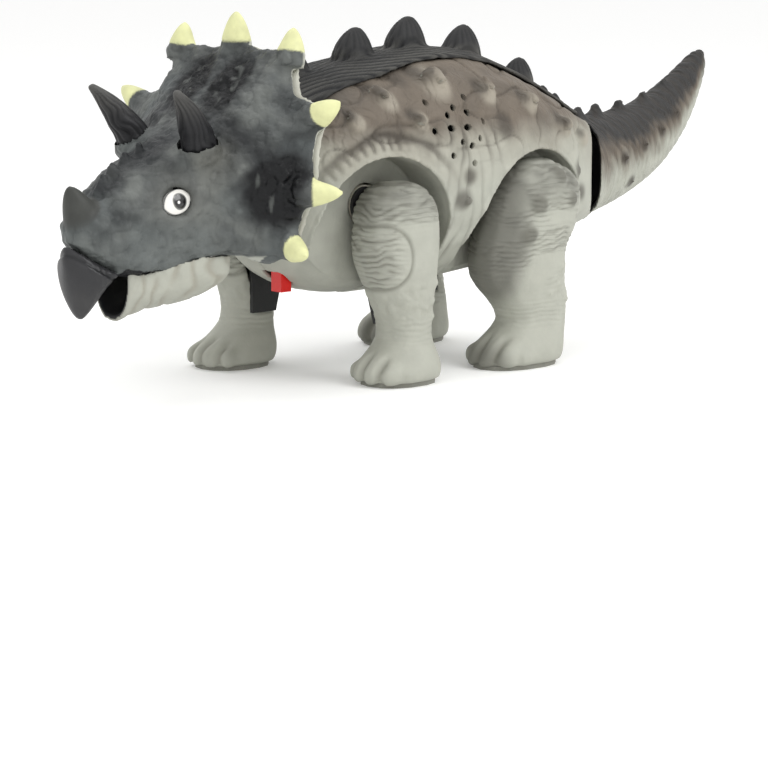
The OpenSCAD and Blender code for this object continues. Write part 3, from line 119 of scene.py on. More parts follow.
# Meshes
def evaluated(obj):
    graph = bpy.context.evaluated_depsgraph_get()
    return bpy.data.meshes.new_from_object(obj.evaluated_get(graph))


def meshPoints(mesh):
    flat = np.empty(len(mesh.vertices) * 3)
    mesh.vertices.foreach_get("co", flat)
    return flat.reshape(-1, 3) * 1000


def meshNormals(mesh):
    flat = np.empty(len(mesh.vertices) * 3, np.float32)
    mesh.vertex_normals.foreach_get("vector", flat)
    return flat.reshape(-1, 3).astype(float)


def setPoints(mesh, points):
    mesh.vertices.foreach_set("co", (points / 1000).ravel())
    mesh.update()


# New piece from points in millimetres and faces
def newPiece(name, points, faces):
    mesh = bpy.data.meshes.new(name)
    mesh.from_pydata((np.array(points) / 1000).tolist(), [], faces)
    obj = bpy.data.objects.new(name, mesh)
    bpy.context.collection.objects.link(obj)
    return obj


# Four-sided faces between rings of points that follow one another
def ringFaces(rings, sides):
    faces = []
    for i in range(rings - 1):
        for k in range(sides):
            m = (k + 1) % sides
            faces.append((i * sides + k, i * sides + m, (i + 1) * sides + m, (i + 1) * sides + k))
    return faces


coneMesh = {"sides": 36, "rings": 18}


# Round-tipped cone as points and faces; its foot is sunk into what carries it
def bluntCone(base, tip, radius, blunt, squash=1.0, sunk=0.3):
    sides, rings = coneMesh["sides"], coneMesh["rings"]
    base, tip = np.array(base, float), np.array(tip, float)
    axis = tip - base
    sideways = abs(axis[1]) > 0.7 * np.linalg.norm(axis)
    u = np.cross(axis, (1, 0, 0) if sideways else (0, 1, 0))
    u /= np.linalg.norm(u)
    v = np.cross(axis, u) / np.linalg.norm(axis)
    shares = np.append(-sunk, np.sin(np.linspace(0, np.pi / 2, rings))[:-1])
    angles = np.linspace(0, 2 * np.pi, sides, endpoint=False)
    points = []
    for t in shares:
        t0 = max(t, 0)
        r = radius * ((1 - blunt) * (1 - t0) + blunt * math.sqrt(1 - t0 * t0))
        points += [base + axis * t + r * (u * math.cos(a) + v * math.sin(a)) for a in angles]
    points = (np.array(points + [tip]) - base) * (1, squash, 1) + base
    last = (rings - 1) * sides
    foot = [tuple(reversed(range(sides)))]
    point = [(last + k, last + (k + 1) % sides, len(points) - 1) for k in range(sides)]
    return points, foot + ringFaces(rings, sides) + point


lightPasses = 2  # smoothing that only takes off the voxel steps


# Fine even mesh of a solid with its additions: flat facets are smoothed away and small features are kept.
# Gives the piece, its mesh, and the mesh's points and normals.
def skinFrom(node, settings, additions=()):
    source = frame["nodes"][node].data.copy()
    if additions:
        joined = bmesh.new()
        joined.from_mesh(source)
        for points, faces in additions:
            made = [joined.verts.new(point / 1000) for point in points]
            for face in faces:
                joined.faces.new([made[i] for i in face])
        joined.to_mesh(source)
        joined.free()
    obj = bpy.data.objects.new(node + "Skin", source)
    bpy.context.collection.objects.link(obj)
    remesh = obj.modifiers.new("Remesh", "REMESH")
    remesh.mode = "VOXEL"
    remesh.voxel_size = settings["voxel"] / 1000
    relax = obj.modifiers.new("Relax", "SMOOTH")
    relax.iterations = lightPasses
    mesh = evaluated(obj)
    relax.iterations = settings["heavy"]
    soft = evaluated(obj)
    kept, smooth = meshPoints(mesh), meshPoints(soft)
    moved = np.linalg.norm(smooth - kept, axis=1)
    share = 1 - smoothStep(settings["keep"], 1.5 * settings["keep"], moved)
    obj.modifiers.clear()
    obj.data = mesh
    mesh.materials.clear()
    setPoints(mesh, kept + (smooth - kept) * share[:, None])
    bpy.data.meshes.remove(soft)
    bpy.data.meshes.remove(source)
    return obj, mesh, meshPoints(mesh), meshNormals(mesh)


# Brushwork of a skin, and how strongly wrinkles and pebbles show in its relief
def paintSkin(mesh, colour, **shares):
    count = len(mesh.vertices)
    rgba = np.ones((count, 4), np.float32)
    rgba[:, :3] = np.clip(colour, 0, 1)
    mesh.attributes.new("paint", "FLOAT_COLOR", "POINT").data.foreach_set("color", rgba.ravel())
    for name, share in shares.items():
        values = np.broadcast_to(share, count).astype(np.float32)
        mesh.attributes.new(name, "FLOAT", "POINT").data.foreach_set("value", values)


def finishSkin(obj, node, body, material):
    mesh = obj.data
    mesh.materials.clear()
    mesh.materials.append(material)
    mesh.polygons.foreach_set("material_index", np.zeros(len(mesh.polygons), np.int32))
    mesh.polygons.foreach_set("use_smooth", np.ones(len(mesh.polygons), bool))
    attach(obj, body)
    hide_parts(node)


# Materials
def newMaterial(name):
    material = bpy.data.materials.new(name)
    material.use_nodes = True
    return material, material.node_tree, material.node_tree.nodes["Principled BSDF"]


def addNode(tree, kind, links=(), **values):
    made = tree.nodes.new(kind)
    for key, value in values.items():
        if hasattr(made, key):
            setattr(made, key, value)
        else:
            made.inputs[key.replace("_", " ")].default_value = value
    for socket, source in links:
        tree.links.new(source, made.inputs[socket])
    return made


# Wave and noise scales for a size in millimetres; a wave's bands lie 0.31416 apart at scale 1
def waveScale(mm):
    return 314.16 / mm


def noiseScale(mm):
    return 1000 / mm


grainHeight = 0.0002  # metres, for the finest relief of every plastic
paintedDrift = 0.08  # of the roughness, either way
mouldedDrift = 0.06


# Sizes in millimetres and finish of a painted plastic, where its own settings don't say otherwise
paintedPlastic = {"mottle": 6, "mottleDepth": 0.06, "rough": 0.6, "grain": 0.8, "bands": "Z", "wander": 5.0,
                  "wanderScale": 0.6, "specular": 0.35}


# Painted toy plastic: colour from the brushwork, grain, pebbles and wrinkles in its relief
def skinMaterial(name, ownSettings):
    settings = {**paintedPlastic, **ownSettings}
    material, tree, shader = newMaterial(name)
    place = addNode(tree, "ShaderNodeTexCoord").outputs["Object"]
    paint = addNode(tree, "ShaderNodeAttribute", attribute_name="paint").outputs["Color"]
    wrinkleShare = addNode(tree, "ShaderNodeAttribute", attribute_name="wrinkle").outputs["Fac"]
    pebbleShare = addNode(tree, "ShaderNodeAttribute", attribute_name="pebble").outputs["Fac"]
    mottle = addNode(tree, "ShaderNodeTexNoise", [("Vector", place)],
                     Scale=noiseScale(settings["mottle"]), Detail=5.0).outputs["Fac"]
    tone = addNode(tree, "ShaderNodeMapRange", [("Value", mottle)], From_Min=0.3, From_Max=0.7,
                   To_Min=1 - settings["mottleDepth"], To_Max=1 + settings["mottleDepth"])
    shade = addNode(tree, "ShaderNodeVectorMath", [(0, paint), (1, tone.outputs["Result"])],
                    operation="MULTIPLY")
    rough = addNode(tree, "ShaderNodeMapRange", [("Value", mottle)],
                    To_Min=settings["rough"] - paintedDrift, To_Max=settings["rough"] + paintedDrift)
    grain = addNode(tree, "ShaderNodeTexNoise", [("Vector", place)],
                    Scale=noiseScale(settings["grain"]), Detail=4.0)
    pebble = addNode(tree, "ShaderNodeTexVoronoi", [("Vector", place)], Scale=noiseScale(settings["pebble"]))
    bands = addNode(tree, "ShaderNodeTexWave", [("Vector", place)],
                    bands_direction=settings["bands"], Scale=waveScale(settings["wrinkle"]),
                    Distortion=settings["wander"], Detail=2.0, Detail_Scale=settings["wanderScale"])
    wrinkled = addNode(tree, "ShaderNodeMath", [(0, bands.outputs["Fac"]), (1, wrinkleShare)],
                       operation="MULTIPLY")
    pebbled = addNode(tree, "ShaderNodeMath", [(0, pebble.outputs["Distance"]), (1, pebbleShare)],
                      operation="MULTIPLY")
    relief = addNode(tree, "ShaderNodeMath", [(0, wrinkled.outputs[0]), (1, pebbled.outputs[0])],
                     operation="SUBTRACT")
    broad = addNode(tree, "ShaderNodeBump", [("Height", relief.outputs[0])],
                    Strength=0.8, Distance=settings["relief"] / 1000)
    fine = addNode(tree, "ShaderNodeBump",
                   [("Height", grain.outputs["Fac"]), ("Normal", broad.outputs["Normal"])],
                   Strength=0.35, Distance=grainHeight)
    tree.links.new(shade.outputs["Vector"], shader.inputs["Base Color"])
    tree.links.new(rough.outputs["Result"], shader.inputs["Roughness"])
    tree.links.new(fine.outputs["Normal"], shader.inputs["Normal"])
    shader.inputs["Specular IOR Level"].default_value = settings["specular"]
    return material


# Plain moulded piece with a fine surface grain and slight colour drift
def mouldedMaterial(name, colour, rough, grainSize=0.8, metallic=0.0, stretch=(1, 1, 1), drift=0.11):
    material, tree, shader = newMaterial(name)
    place = addNode(tree, "ShaderNodeTexCoord").outputs["Object"]
    spread = addNode(tree, "ShaderNodeMapping", [("Vector", place)], Scale=stretch)
    grain = addNode(tree, "ShaderNodeTexNoise", [("Vector", spread.outputs["Vector"])],
                    Scale=noiseScale(grainSize), Detail=4.0).outputs["Fac"]
    ramp = addNode(tree, "ShaderNodeValToRGB", [("Fac", grain)])
    for stop, share in zip(ramp.color_ramp.elements, (1 - drift, 1 + drift)):
        stop.color = (*np.clip(linear(colour) * share, 0, 1), 1)
    rougher = addNode(tree, "ShaderNodeMapRange", [("Value", grain)],
                      To_Min=rough - mouldedDrift, To_Max=rough + mouldedDrift)
    bump = addNode(tree, "ShaderNodeBump", [("Height", grain)], Strength=0.3, Distance=grainHeight)
    tree.links.new(ramp.outputs["Color"], shader.inputs["Base Color"])
    tree.links.new(rougher.outputs["Result"], shader.inputs["Roughness"])
    tree.links.new(bump.outputs["Normal"], shader.inputs["Normal"])
    shader.inputs["Metallic"].default_value = metallic
    return material


# Paints that several pieces share
paleGrey = linear("#adaea3")
warmGrey = linear("#989386")
taupe = linear("#6a6156")
darkTaupe = linear("#3c362f")
charcoal = linear("#2b2b2b")
soot = linear("#17181a")
paleEdge = linear("#c3c4b9")

# Body halves: pale lower flanks, airbrushed back, folds round the arches
flank = {
    "voxel": 0.75, "keep": 0.45, "heavy": 70, "middle": 72.0, "browned": (80.0, 93.0), "lumpDepth": 1.0,
    "frontArch": (frontHip, 0.8, 54.0, 26.8), "rearArch": (rearHip, -0.8, 50.0, 29.0),
    "archFold": (7.0, 1.3), "blockSpacing": 3.6, "blockRadius": 30.0, "strokeSpacing": 5.5, "plateRise": 1.1,
    "plateHighlight": linear("#a39c8e"),
    "spots": [(14, 63.7, 3.4), (11, 72, 2.8), (-54, 69.8, 3.6), (-8, 88.5, 4.0), (30, 107.5, 3.5),
              (-60, 60, 3.0)],
    "plates": [(40.5, 100, 5.5), (56, 93, 4.4), (17.5, 104.5, 8.0), (-4.7, 100, 5.5), (-26, 95.7, 5.5),
               (-46, 86, 5.0), (31, 92, 5.0), (-62, 80, 4.0)],
}
# Moulded vinyl, airbrushed: matt, with folds and pebbles that break up the light
flankMaterial = skinMaterial("airbrushedBodyPlastic", {
    "mottle": 7, "mottleDepth": 0.07, "rough": 0.62, "grain": 0.9, "pebble": 2.6, "wrinkle": 4.2,
    "bands": "X", "relief": 0.5, "wander": 14.0, "wanderScale": 1.6})
speaker = {
    "centre": (14.0, 88.8), "radius": 1.25, "sides": 10, "reach": (20, 60),
    "holes": [(11, 9.5, 1), (-6.5, 10.6, 1), (0.3, 7.4, 1), (3.4, 4.9, 0.9), (-5.6, 5.3, 1), (10.8, -0.3, 1),
              (3.1, 0.4, 1.1), (-3.8, 0.4, 1.5), (-12.3, 1.9, 0.7), (-0.5, -4.5, 1), (-5, -6, 1.1),
              (-8.8, -3.7, 0.7), (4, -9.1, 1), (-5.5, -12.3, 1)],
}

# Curved wall that closes the rear end of a body half behind the tail's joint
rimWall = {
    "middle": -54.0, "radius": 27.1, "thick": 2.4, "window": 11.0, "start": -51.5, "square": 0.86,
    "inset": 0.97, "turns": 22, "levels": 18,
    "sections": [(-84, 46.5, 84.5, 19.0), (-70, 43.5, 88.5, 25.0), (-50, 39.0, 98.5, 33.5)],
}


# Low edge, high edge and half width of the body at places along it
def bodySection(x):
    spots, *edges = zip(*rimWall["sections"])
    return [np.interp(x, spots, edge) for edge in edges]


def rimWallSlab(hand):
    middle, radius, thick, start = (rimWall[key] for key in ("middle", "radius", "thick", "start"))
    angles = np.linspace(math.radians(88), math.asin(rimWall["window"] / radius), rimWall["turns"])
    ring = np.column_stack([-np.cos(angles), np.sin(angles)])
    sideEdge = bodySection(start)[2] - 0.8
    outer = np.vstack([[start, sideEdge], ring * radius + (middle, 0)])
    inner = np.vstack([[start + thick, sideEdge - 1], ring * (radius - thick) + (middle, 0)])
    share = np.linspace(-1, 1, rimWall["levels"])
    layers = []
    for path in (outer, inner):
        low, high, half = bodySection(path[:, 0])
        beside = np.clip(path[:, 1] / half, 0, 0.97)
        rise = rimWall["inset"] * (1 - beside ** (2 / rimWall["square"])) ** (rimWall["square"] / 2)
        z = (low + high)[:, None] / 2 + (rise * (high - low))[:, None] / 2 * share
        x, y = (np.repeat(path[:, i:i + 1], len(share), 1) for i in (0, 1))
        layers.append(np.dstack([x, y, z]))
    count, levels = layers[0].shape[:2]
    points = np.vstack([layer.reshape(-1, 3) for layer in layers])
    points[:, 1] *= hand
    outside, inside = np.arange(len(points)).reshape(2, count, levels).tolist()
    faces = []
    for i in range(count - 1):
        out, outNext, into, intoNext = outside[i], outside[i + 1], inside[i], inside[i + 1]
        for k in range(levels - 1):
            faces.append((out[k], outNext[k], outNext[k + 1], out[k + 1]))
            faces.append((into[k], into[k + 1], intoNext[k + 1], intoNext[k]))
        faces.append((out[0], into[0], intoNext[0], outNext[0]))
        faces.append((out[-1], outNext[-1], intoNext[-1], into[-1]))
    for k in range(levels - 1):
        faces.append((outside[0][k], outside[0][k + 1], inside[0][k + 1], inside[0][k]))
        faces.append((outside[-1][k], inside[-1][k], inside[-1][k + 1], outside[-1][k + 1]))
    return points, faces if hand > 0 else [face[::-1] for face in faces]


# Distance outside the edge of a leg arch
def archGap(x, z, arch):
    hip, ahead, height, radius = arch
    return np.hypot(x - hip - ahead, z - height) - radius


def flankRelief(points, normals):
    x, y, z = points.T
    outward = np.column_stack([np.zeros(len(x)), y, z - flank["middle"]])
    outward /= np.linalg.norm(outward, axis=1)[:, None] + tiny
    outside = smoothStep(0.25, 0.6, np.sum(outward * normals, axis=1))
    frontArch = archGap(x, z, flank["frontArch"])
    nearest = np.minimum(frontArch, archGap(x, z, flank["rearArch"]))
    free = smoothStep(1.0, 4, nearest) * smoothStep(-72, -62, x)
    warp = 5 * (noise(points, 14, 1) - 0.5) + 2.5 * (noise(points, 6, 2) - 0.5)
    upper = smoothStep(70, 88, z)
    foldAt, foldWidth = flank["archFold"]
    archFold = np.exp(-((frontArch + 0.7 * warp - foldAt) / foldWidth) ** 2) * smoothStep(12, 26, x)
    around = np.arctan2(z - flank["frontArch"][2], x - frontHip) * flank["blockRadius"]
    block = grooves((around + 0.4 * warp) / flank["blockSpacing"], 2)
    block *= smoothStep(34, 46, x) * smoothStep(68, 74, z)
    block *= smoothStep(1.5, 3, frontArch) * (1 - smoothStep(5, 7.5, frontArch))
    stroke = grooves((x + 0.16 * (z - 70) * np.sign(x - 12) + warp) / flank["strokeSpacing"], 4)
    stroke *= (1 - smoothStep(10, 22, np.abs(x - 8))) * (1 - smoothStep(84, 96, z))
    stroke *= noise(points, (4, 4, 12), 8)
    crease = 1 - np.abs(2 * noise(points, (11, 11, 8), 3) - 1)
    rough = noise(points, 8, 9) - 0.5 + 0.5 * (noise(points, 4, 4) - 0.5)
    rough -= 0.7 * smoothStep(0.86, 1.0, crease)
    height = flank["lumpDepth"] * rough * upper
    height -= 0.9 * archFold + 0.6 * block + 0.8 * stroke
    plate = np.zeros(len(x))
    shadow = np.zeros(len(x))
    for px, pz, r in flank["plates"]:
        d = np.hypot(x - px + 0.18 * warp, z - pz) / r
        plate = np.maximum(plate, 1 - smoothStep(0.35, 1.0, d))
        under = np.hypot(x - px - 0.5 * r, z - pz - 0.5 * r) / r
        shadow = np.maximum(shadow, np.exp(-((under - 0.1) / 0.45) ** 2))
    height = height * (1 - 0.7 * plate) + flank["plateRise"] * plate - 0.7 * shadow * (1 - plate)
    # Painted shade: the fold round the front arch, the grooves, the creases and the shadow beside each plate are
    # darkened in the paint
    dark = archFold + 0.8 * block + 1.2 * stroke + 0.55 * smoothStep(0.9, 1.0, crease) * upper + shadow
    return height * outside * free, outside, np.clip(dark, 0, 1), plate, nearest


def cutSpeakerHoles(obj):
    sides, radius = speaker["sides"], speaker["radius"]
    cx, cz = speaker["centre"]
    points, faces = [], []
    for dx, dz, share in speaker["holes"]:
        start = len(points)
        for y in speaker["reach"]:
            for i in range(sides):
                a = 2 * math.pi * i / sides
                points.append((cx + dx + radius * share * math.cos(a), y, cz + dz + radius * math.sin(a)))
        for i in range(sides):
            k = (i + 1) % sides
            faces.append((start + k, start + i, start + sides + i, start + sides + k))
        faces.append(tuple(start + i for i in range(sides)))
        faces.append(tuple(start + sides + i for i in reversed(range(sides))))
    cutter = newPiece("speakerCutter", points, faces)
    cutterMesh = cutter.data
    cut = obj.modifiers.new("Holes", "BOOLEAN")
    cut.operation = "DIFFERENCE"
    cut.solver = "MANIFOLD"
    cut.object = cutter
    obj.data = evaluated(obj)
    obj.modifiers.clear()
    bpy.data.objects.remove(cutter)
    bpy.data.meshes.remove(cutterMesh)


def buildFlank(node, hand):
    obj, mesh, points, normals = skinFrom(node, flank, [rimWallSlab(hand)])
    height = flankRelief(points, normals)[0]
    setPoints(mesh, points + normals * height[:, None])
    if hand > 0:
        cutSpeakerHoles(obj)
    mesh = obj.data
    points, normals = meshPoints(mesh), meshNormals(mesh)
    outside, dark, plate, nearest = flankRelief(points, normals)[1:]
    x, y, z = points.T
    low, high = flank["browned"]
    drift = 8 * (noise(points, 16, 5) - 0.5) + 5 * (noise(points, 6, 6) - 0.5)
    browned = smoothStep(low, high, z + drift - 0.03 * x)
    blotch = np.clip(noise(points, 6, 7) * 2 - 0.9, 0, 1)
    seam = smoothStep(40, 66, x) * smoothStep(92, 104, z)
    underRidge = smoothStep(20, 12, np.abs(y)) * smoothStep(88, 96, z) * outside
    pocketShade = smoothStep(27.0, 24.5, np.abs(y)) * smoothStep(2.0, 0.5, nearest) * (z < 84)
    spots = [ellipseMask(x, z, (sx, sz), (r, r), 0.6) for sx, sz, r in flank["spots"]]
    colour = brushed(paleGrey, [
        (warmGrey, 0.6 * smoothStep(low - 14, high - 8, z + drift)),
        (taupe, browned),
        # painted shade in the folds, grooves, creases and beside the plates
        (darkTaupe, 0.85 * dark * (0.45 + 0.55 * smoothStep(low - 6, high - 4, z))),
        (darkTaupe, 0.35 * blotch * browned),
        *((darkTaupe, 0.7 * spot) for spot in spots),
        # painted highlight: the raised plates are painted paler, as if lit
        (flank["plateHighlight"], 0.75 * plate * (1 - 0.8 * dark) * (z > 76)),
        (charcoal, 0.7 * seam),
        (darkTaupe, 0.75 * underRidge),
        # painted shade inside the leg pockets and on the inner faces of the shell
        (paleGrey * 0.8, 0.7 * np.maximum(pocketShade, outside < 0.02)),
    ])
    paintSkin(mesh, colour, wrinkle=outside * (0.1 + 0.6 * smoothStep(74, 92, z)),
              pebble=outside * (0.15 + 0.35 * browned))
    finishSkin(obj, node, "toy_body", flankMaterial)


buildFlank("body_shell_left", 1)
buildFlank("body_shell_right", -1)
print("body halves done")

# Back ridge: charcoal strip with hair-like grooves and fluted spikes
ridge = {
    "voxel": 0.6, "keep": 0.4, "heavy": 20, "strand": 2.72, "strandDepth": 0.45, "flutes": 14,
    "spikes": [(57.3, 0.72), (30.3, 1), (5, 1), (-22.7, 0.98), (-51.7, 0.85), (-65, 0.42), (-71.5, 0.4)],
    "spikeRadius": 7.8, "spikeHeight": 10.0, "strandHighlight": linear("#565551"), "wornGrey": linear("#56544f"),
    "spikeGrey": linear("#3f3f40"),
}
# Charcoal plastic, moulded: dull, streaked along its grooves
ridgeMaterial = skinMaterial("charcoalRidgePlastic", {
    "mottle": 5, "mottleDepth": 0.1, "rough": 0.58, "grain": 0.7, "pebble": 2.0, "wrinkle": 1.5,
    "bands": "Y", "relief": 0.6, "wander": 3.0, "wanderScale": 0.4, "specular": 0.2})


def buildRidge():
    solid = meshPoints(frame["nodes"]["dorsal_ridge"].data)
    cones = []
    for sx, share in ridge["spikes"]:
        r = ridge["spikeRadius"] * share
        near = solid[np.hypot(solid[:, 0] - sx, solid[:, 1]) < r]
        peak = near[np.argmax(near[:, 2])]
        foot = (sx, 0, peak[2] - ridge["spikeHeight"] * share)
        cones.append(bluntCone(foot, (peak[0], 0, peak[2] + 0.4), 1.1 * r, 0.65, squash=0.82))
    obj, mesh, points, normals = skinFrom("dorsal_ridge", ridge, cones)
    x, y, z = points.T
    onSpike = np.zeros(len(x))
    flute = np.zeros(len(x))
    for sx, share in ridge["spikes"]:
        r = ridge["spikeRadius"] * share
        near = 1 - smoothStep(0.85, 1.15, np.hypot((x - sx) / r, y / (0.8 * r)))
        onSpike = np.maximum(onSpike, near)
        around = np.arctan2(y, x - sx + 0.01) / (2 * np.pi)
        flute += near * grooves(around * ridge["flutes"], 2) * smoothStep(0.1, 0.4, np.hypot(x - sx, y) / r)
    warp = 3.0 * (noise(points, 9, 11) - 0.5)
    strand = grooves((np.abs(y) + 0.32 * x + warp) / ridge["strand"], 2)
    up = smoothStep(0.1, 0.4, normals[:, 2])
    height = -ridge["strandDepth"] * up * (strand * (1 - onSpike) + 0.8 * flute)
    setPoints(mesh, points + normals * height[:, None])
    colour = brushed(charcoal, [
        # painted highlight along the raised strands between the grooves
        (ridge["strandHighlight"], 0.9 * (1 - strand) * noise(points, (14, 5, 5), 13) * (1 - onSpike)),
        # painted shade in the grooves, darker where they are cut deeper
        (soot, 0.8 * np.clip(-height / ridge["strandDepth"], 0, 1)),
        (ridge["wornGrey"], 0.55 * smoothStep(10, -60, x) * (1 - onSpike)),
        (ridge["spikeGrey"], 0.4 * onSpike * noise(points, 4, 12)),
    ])
    paintSkin(mesh, colour, wrinkle=0.8 * (1 - onSpike), pebble=0.1)
    finishSkin(obj, "dorsal_ridge", "toy_body", ridgeMaterial)


buildRidge()
print("ridge done")

# Head: mottled slate vinyl with black patches, bone spikes and a dark nose horn
head = {
    "voxel": 0.65, "keep": 0.35, "heavy": 25, "lumpDepth": 1.2, "patchDepth": 1.3,
    "patches": [
        {"centre": (37.8, 73.0), "radii": (8.6, 11.8), "soft": 0.45, "until": 116,
         "halo": 1.35, "haloUntil": 118},
        {"centre": (8.6, 107.0), "radii": (6.8, 8.8), "soft": 0.5, "until": 112,
         "halo": 1.4, "haloUntil": 112},
    ],
    "valley": ((14.0, 98.0), (32.0, 85.0), 3.6, 112),
    "eye": {"place": (128.5, 69.8), "radii": (6.4, 5.2), "beside": 8},
    "spikes": [((84, 27, 117.6), (82.2, 26.6, 126.9), 5.0), ((88.5, 43.9, 97.7), (88.1, 54.0, 103.0), 4.9),
               ((94.5, 45.6, 72), (87.0, 54.2, 72.2), 4.9), ((98.8, 41.9, 53.1), (101.9, 51.2, 51.6), 4.6),
               ((83.5, 0, 120.0), (83.4, 0, 131.6), 5.6)],
    "noseHorn": ((156.3, 0, 65.0), (162.4, 0, 76.7), 6.7),
    "lip": [(104, 49.5), (128, 45.2), (138, 43.6), (147, 45.6), (152, 48.8), (158, 52.5), (165, 57.2),
            (170, 58.5)],
    "slate": linear("#535655"), "paleSlate": linear("#6a6d6a"), "deepSlate": linear("#3b3e3e"),
    "blueSlate": linear("#565b5b"), "eyeShade": linear("#767772"), "cheekSlate": linear("#6a6e6c"),
    "socketTan": linear("#67655c"), "noseGrey": linear("#3f403d"), "bone": linear("#d9daa6"),
}
# Soft vinyl, moulded and sponged with paint: cloudy slate, a faint satin, leathery grain
headMaterial = skinMaterial("mottledHeadVinyl", {
    "mottleDepth": 0.13, "rough": 0.48, "grain": 0.7, "pebble": 1.9, "wrinkle": 2.4, "bands": "DIAGONAL",
    "relief": 0.7, "wanderScale": 0.9, "specular": 0.22})


# Height of the mouth line along the head
def lipHeight(x):
    return np.interp(x, *zip(*head["lip"]))


def coneMask(points, cone, start, soft):
    base, tip, radius = np.array(cone[0], float), np.array(cone[1], float), cone[2]
    axis = tip - base
    length = np.linalg.norm(axis)
    axis /= length
    along = (points - base) @ axis
    aside = np.linalg.norm(points - base - along[:, None] * axis, axis=1)
    inside = 1 - smoothStep(radius, radius + 1.2, aside)
    return inside * smoothStep(start - soft, start + soft, along / length)


browHorn = {"voxel": 0.4, "keep": 0.35, "heavy": 30, "base": (117.0, 15.5, 87.0), "length": 27.0,
            "grooveCount": 11, "grooveDepth": 0.35, "radius": 7.0, "seat": 0.5, "fuller": 0.6,
            "browBlack": linear("#232325"), "tipGrey": linear("#5a5956")}


# Share along a brow horn and distance from its middle line
def hornPlace(p):
    bx, by, bz = browHorn["base"]
    length = browHorn["length"]
    t = np.clip((p[:, 2] - bz) / (0.74 * length), 0, 1)
    x = p[:, 0] - bx - length * (0.42 * t + 0.16 * t * t)
    y = np.abs(p[:, 1]) - by - length * 0.2 * t
    return t, x, y


# Clears the skin round a brow horn so that a narrow dark seat shows
def hornSeat(p):
    t, x, y = hornPlace(p)
    away = np.hypot(x, y) + tiny
    wanted = browHorn["radius"] * (1 - t) ** 0.66 + browHorn["seat"]
    level = smoothStep(-6, -1, p[:, 2] - browHorn["base"][2]) * smoothStep(0.5, 0.3, t)
    push = np.where(away < wanted, 1 + level * (wanted / away - 1), 1.0)
    out = p.copy()
    out[:, 0] += x * (push - 1)
    out[:, 1] += np.where(p[:, 1] < 0, -1, 1) * y * (push - 1)
    return out


# Bone spikes on both sides of the frill and the horn on the nose, where the turned head has them
def headCones():
    cones = []
    for base, tip, radius in head["spikes"]:
        for hand in (1, -1) if base[1] else (1,):
            ends = np.multiply((base, tip), (1, hand, 1))
            cones.append(bluntCone(*ends, radius, 0.6, sunk=0.5))
    cones.append(bluntCone(*head["noseHorn"], 0.55))
    return [(turnedOut(points, headTurn), faces) for points, faces in cones]


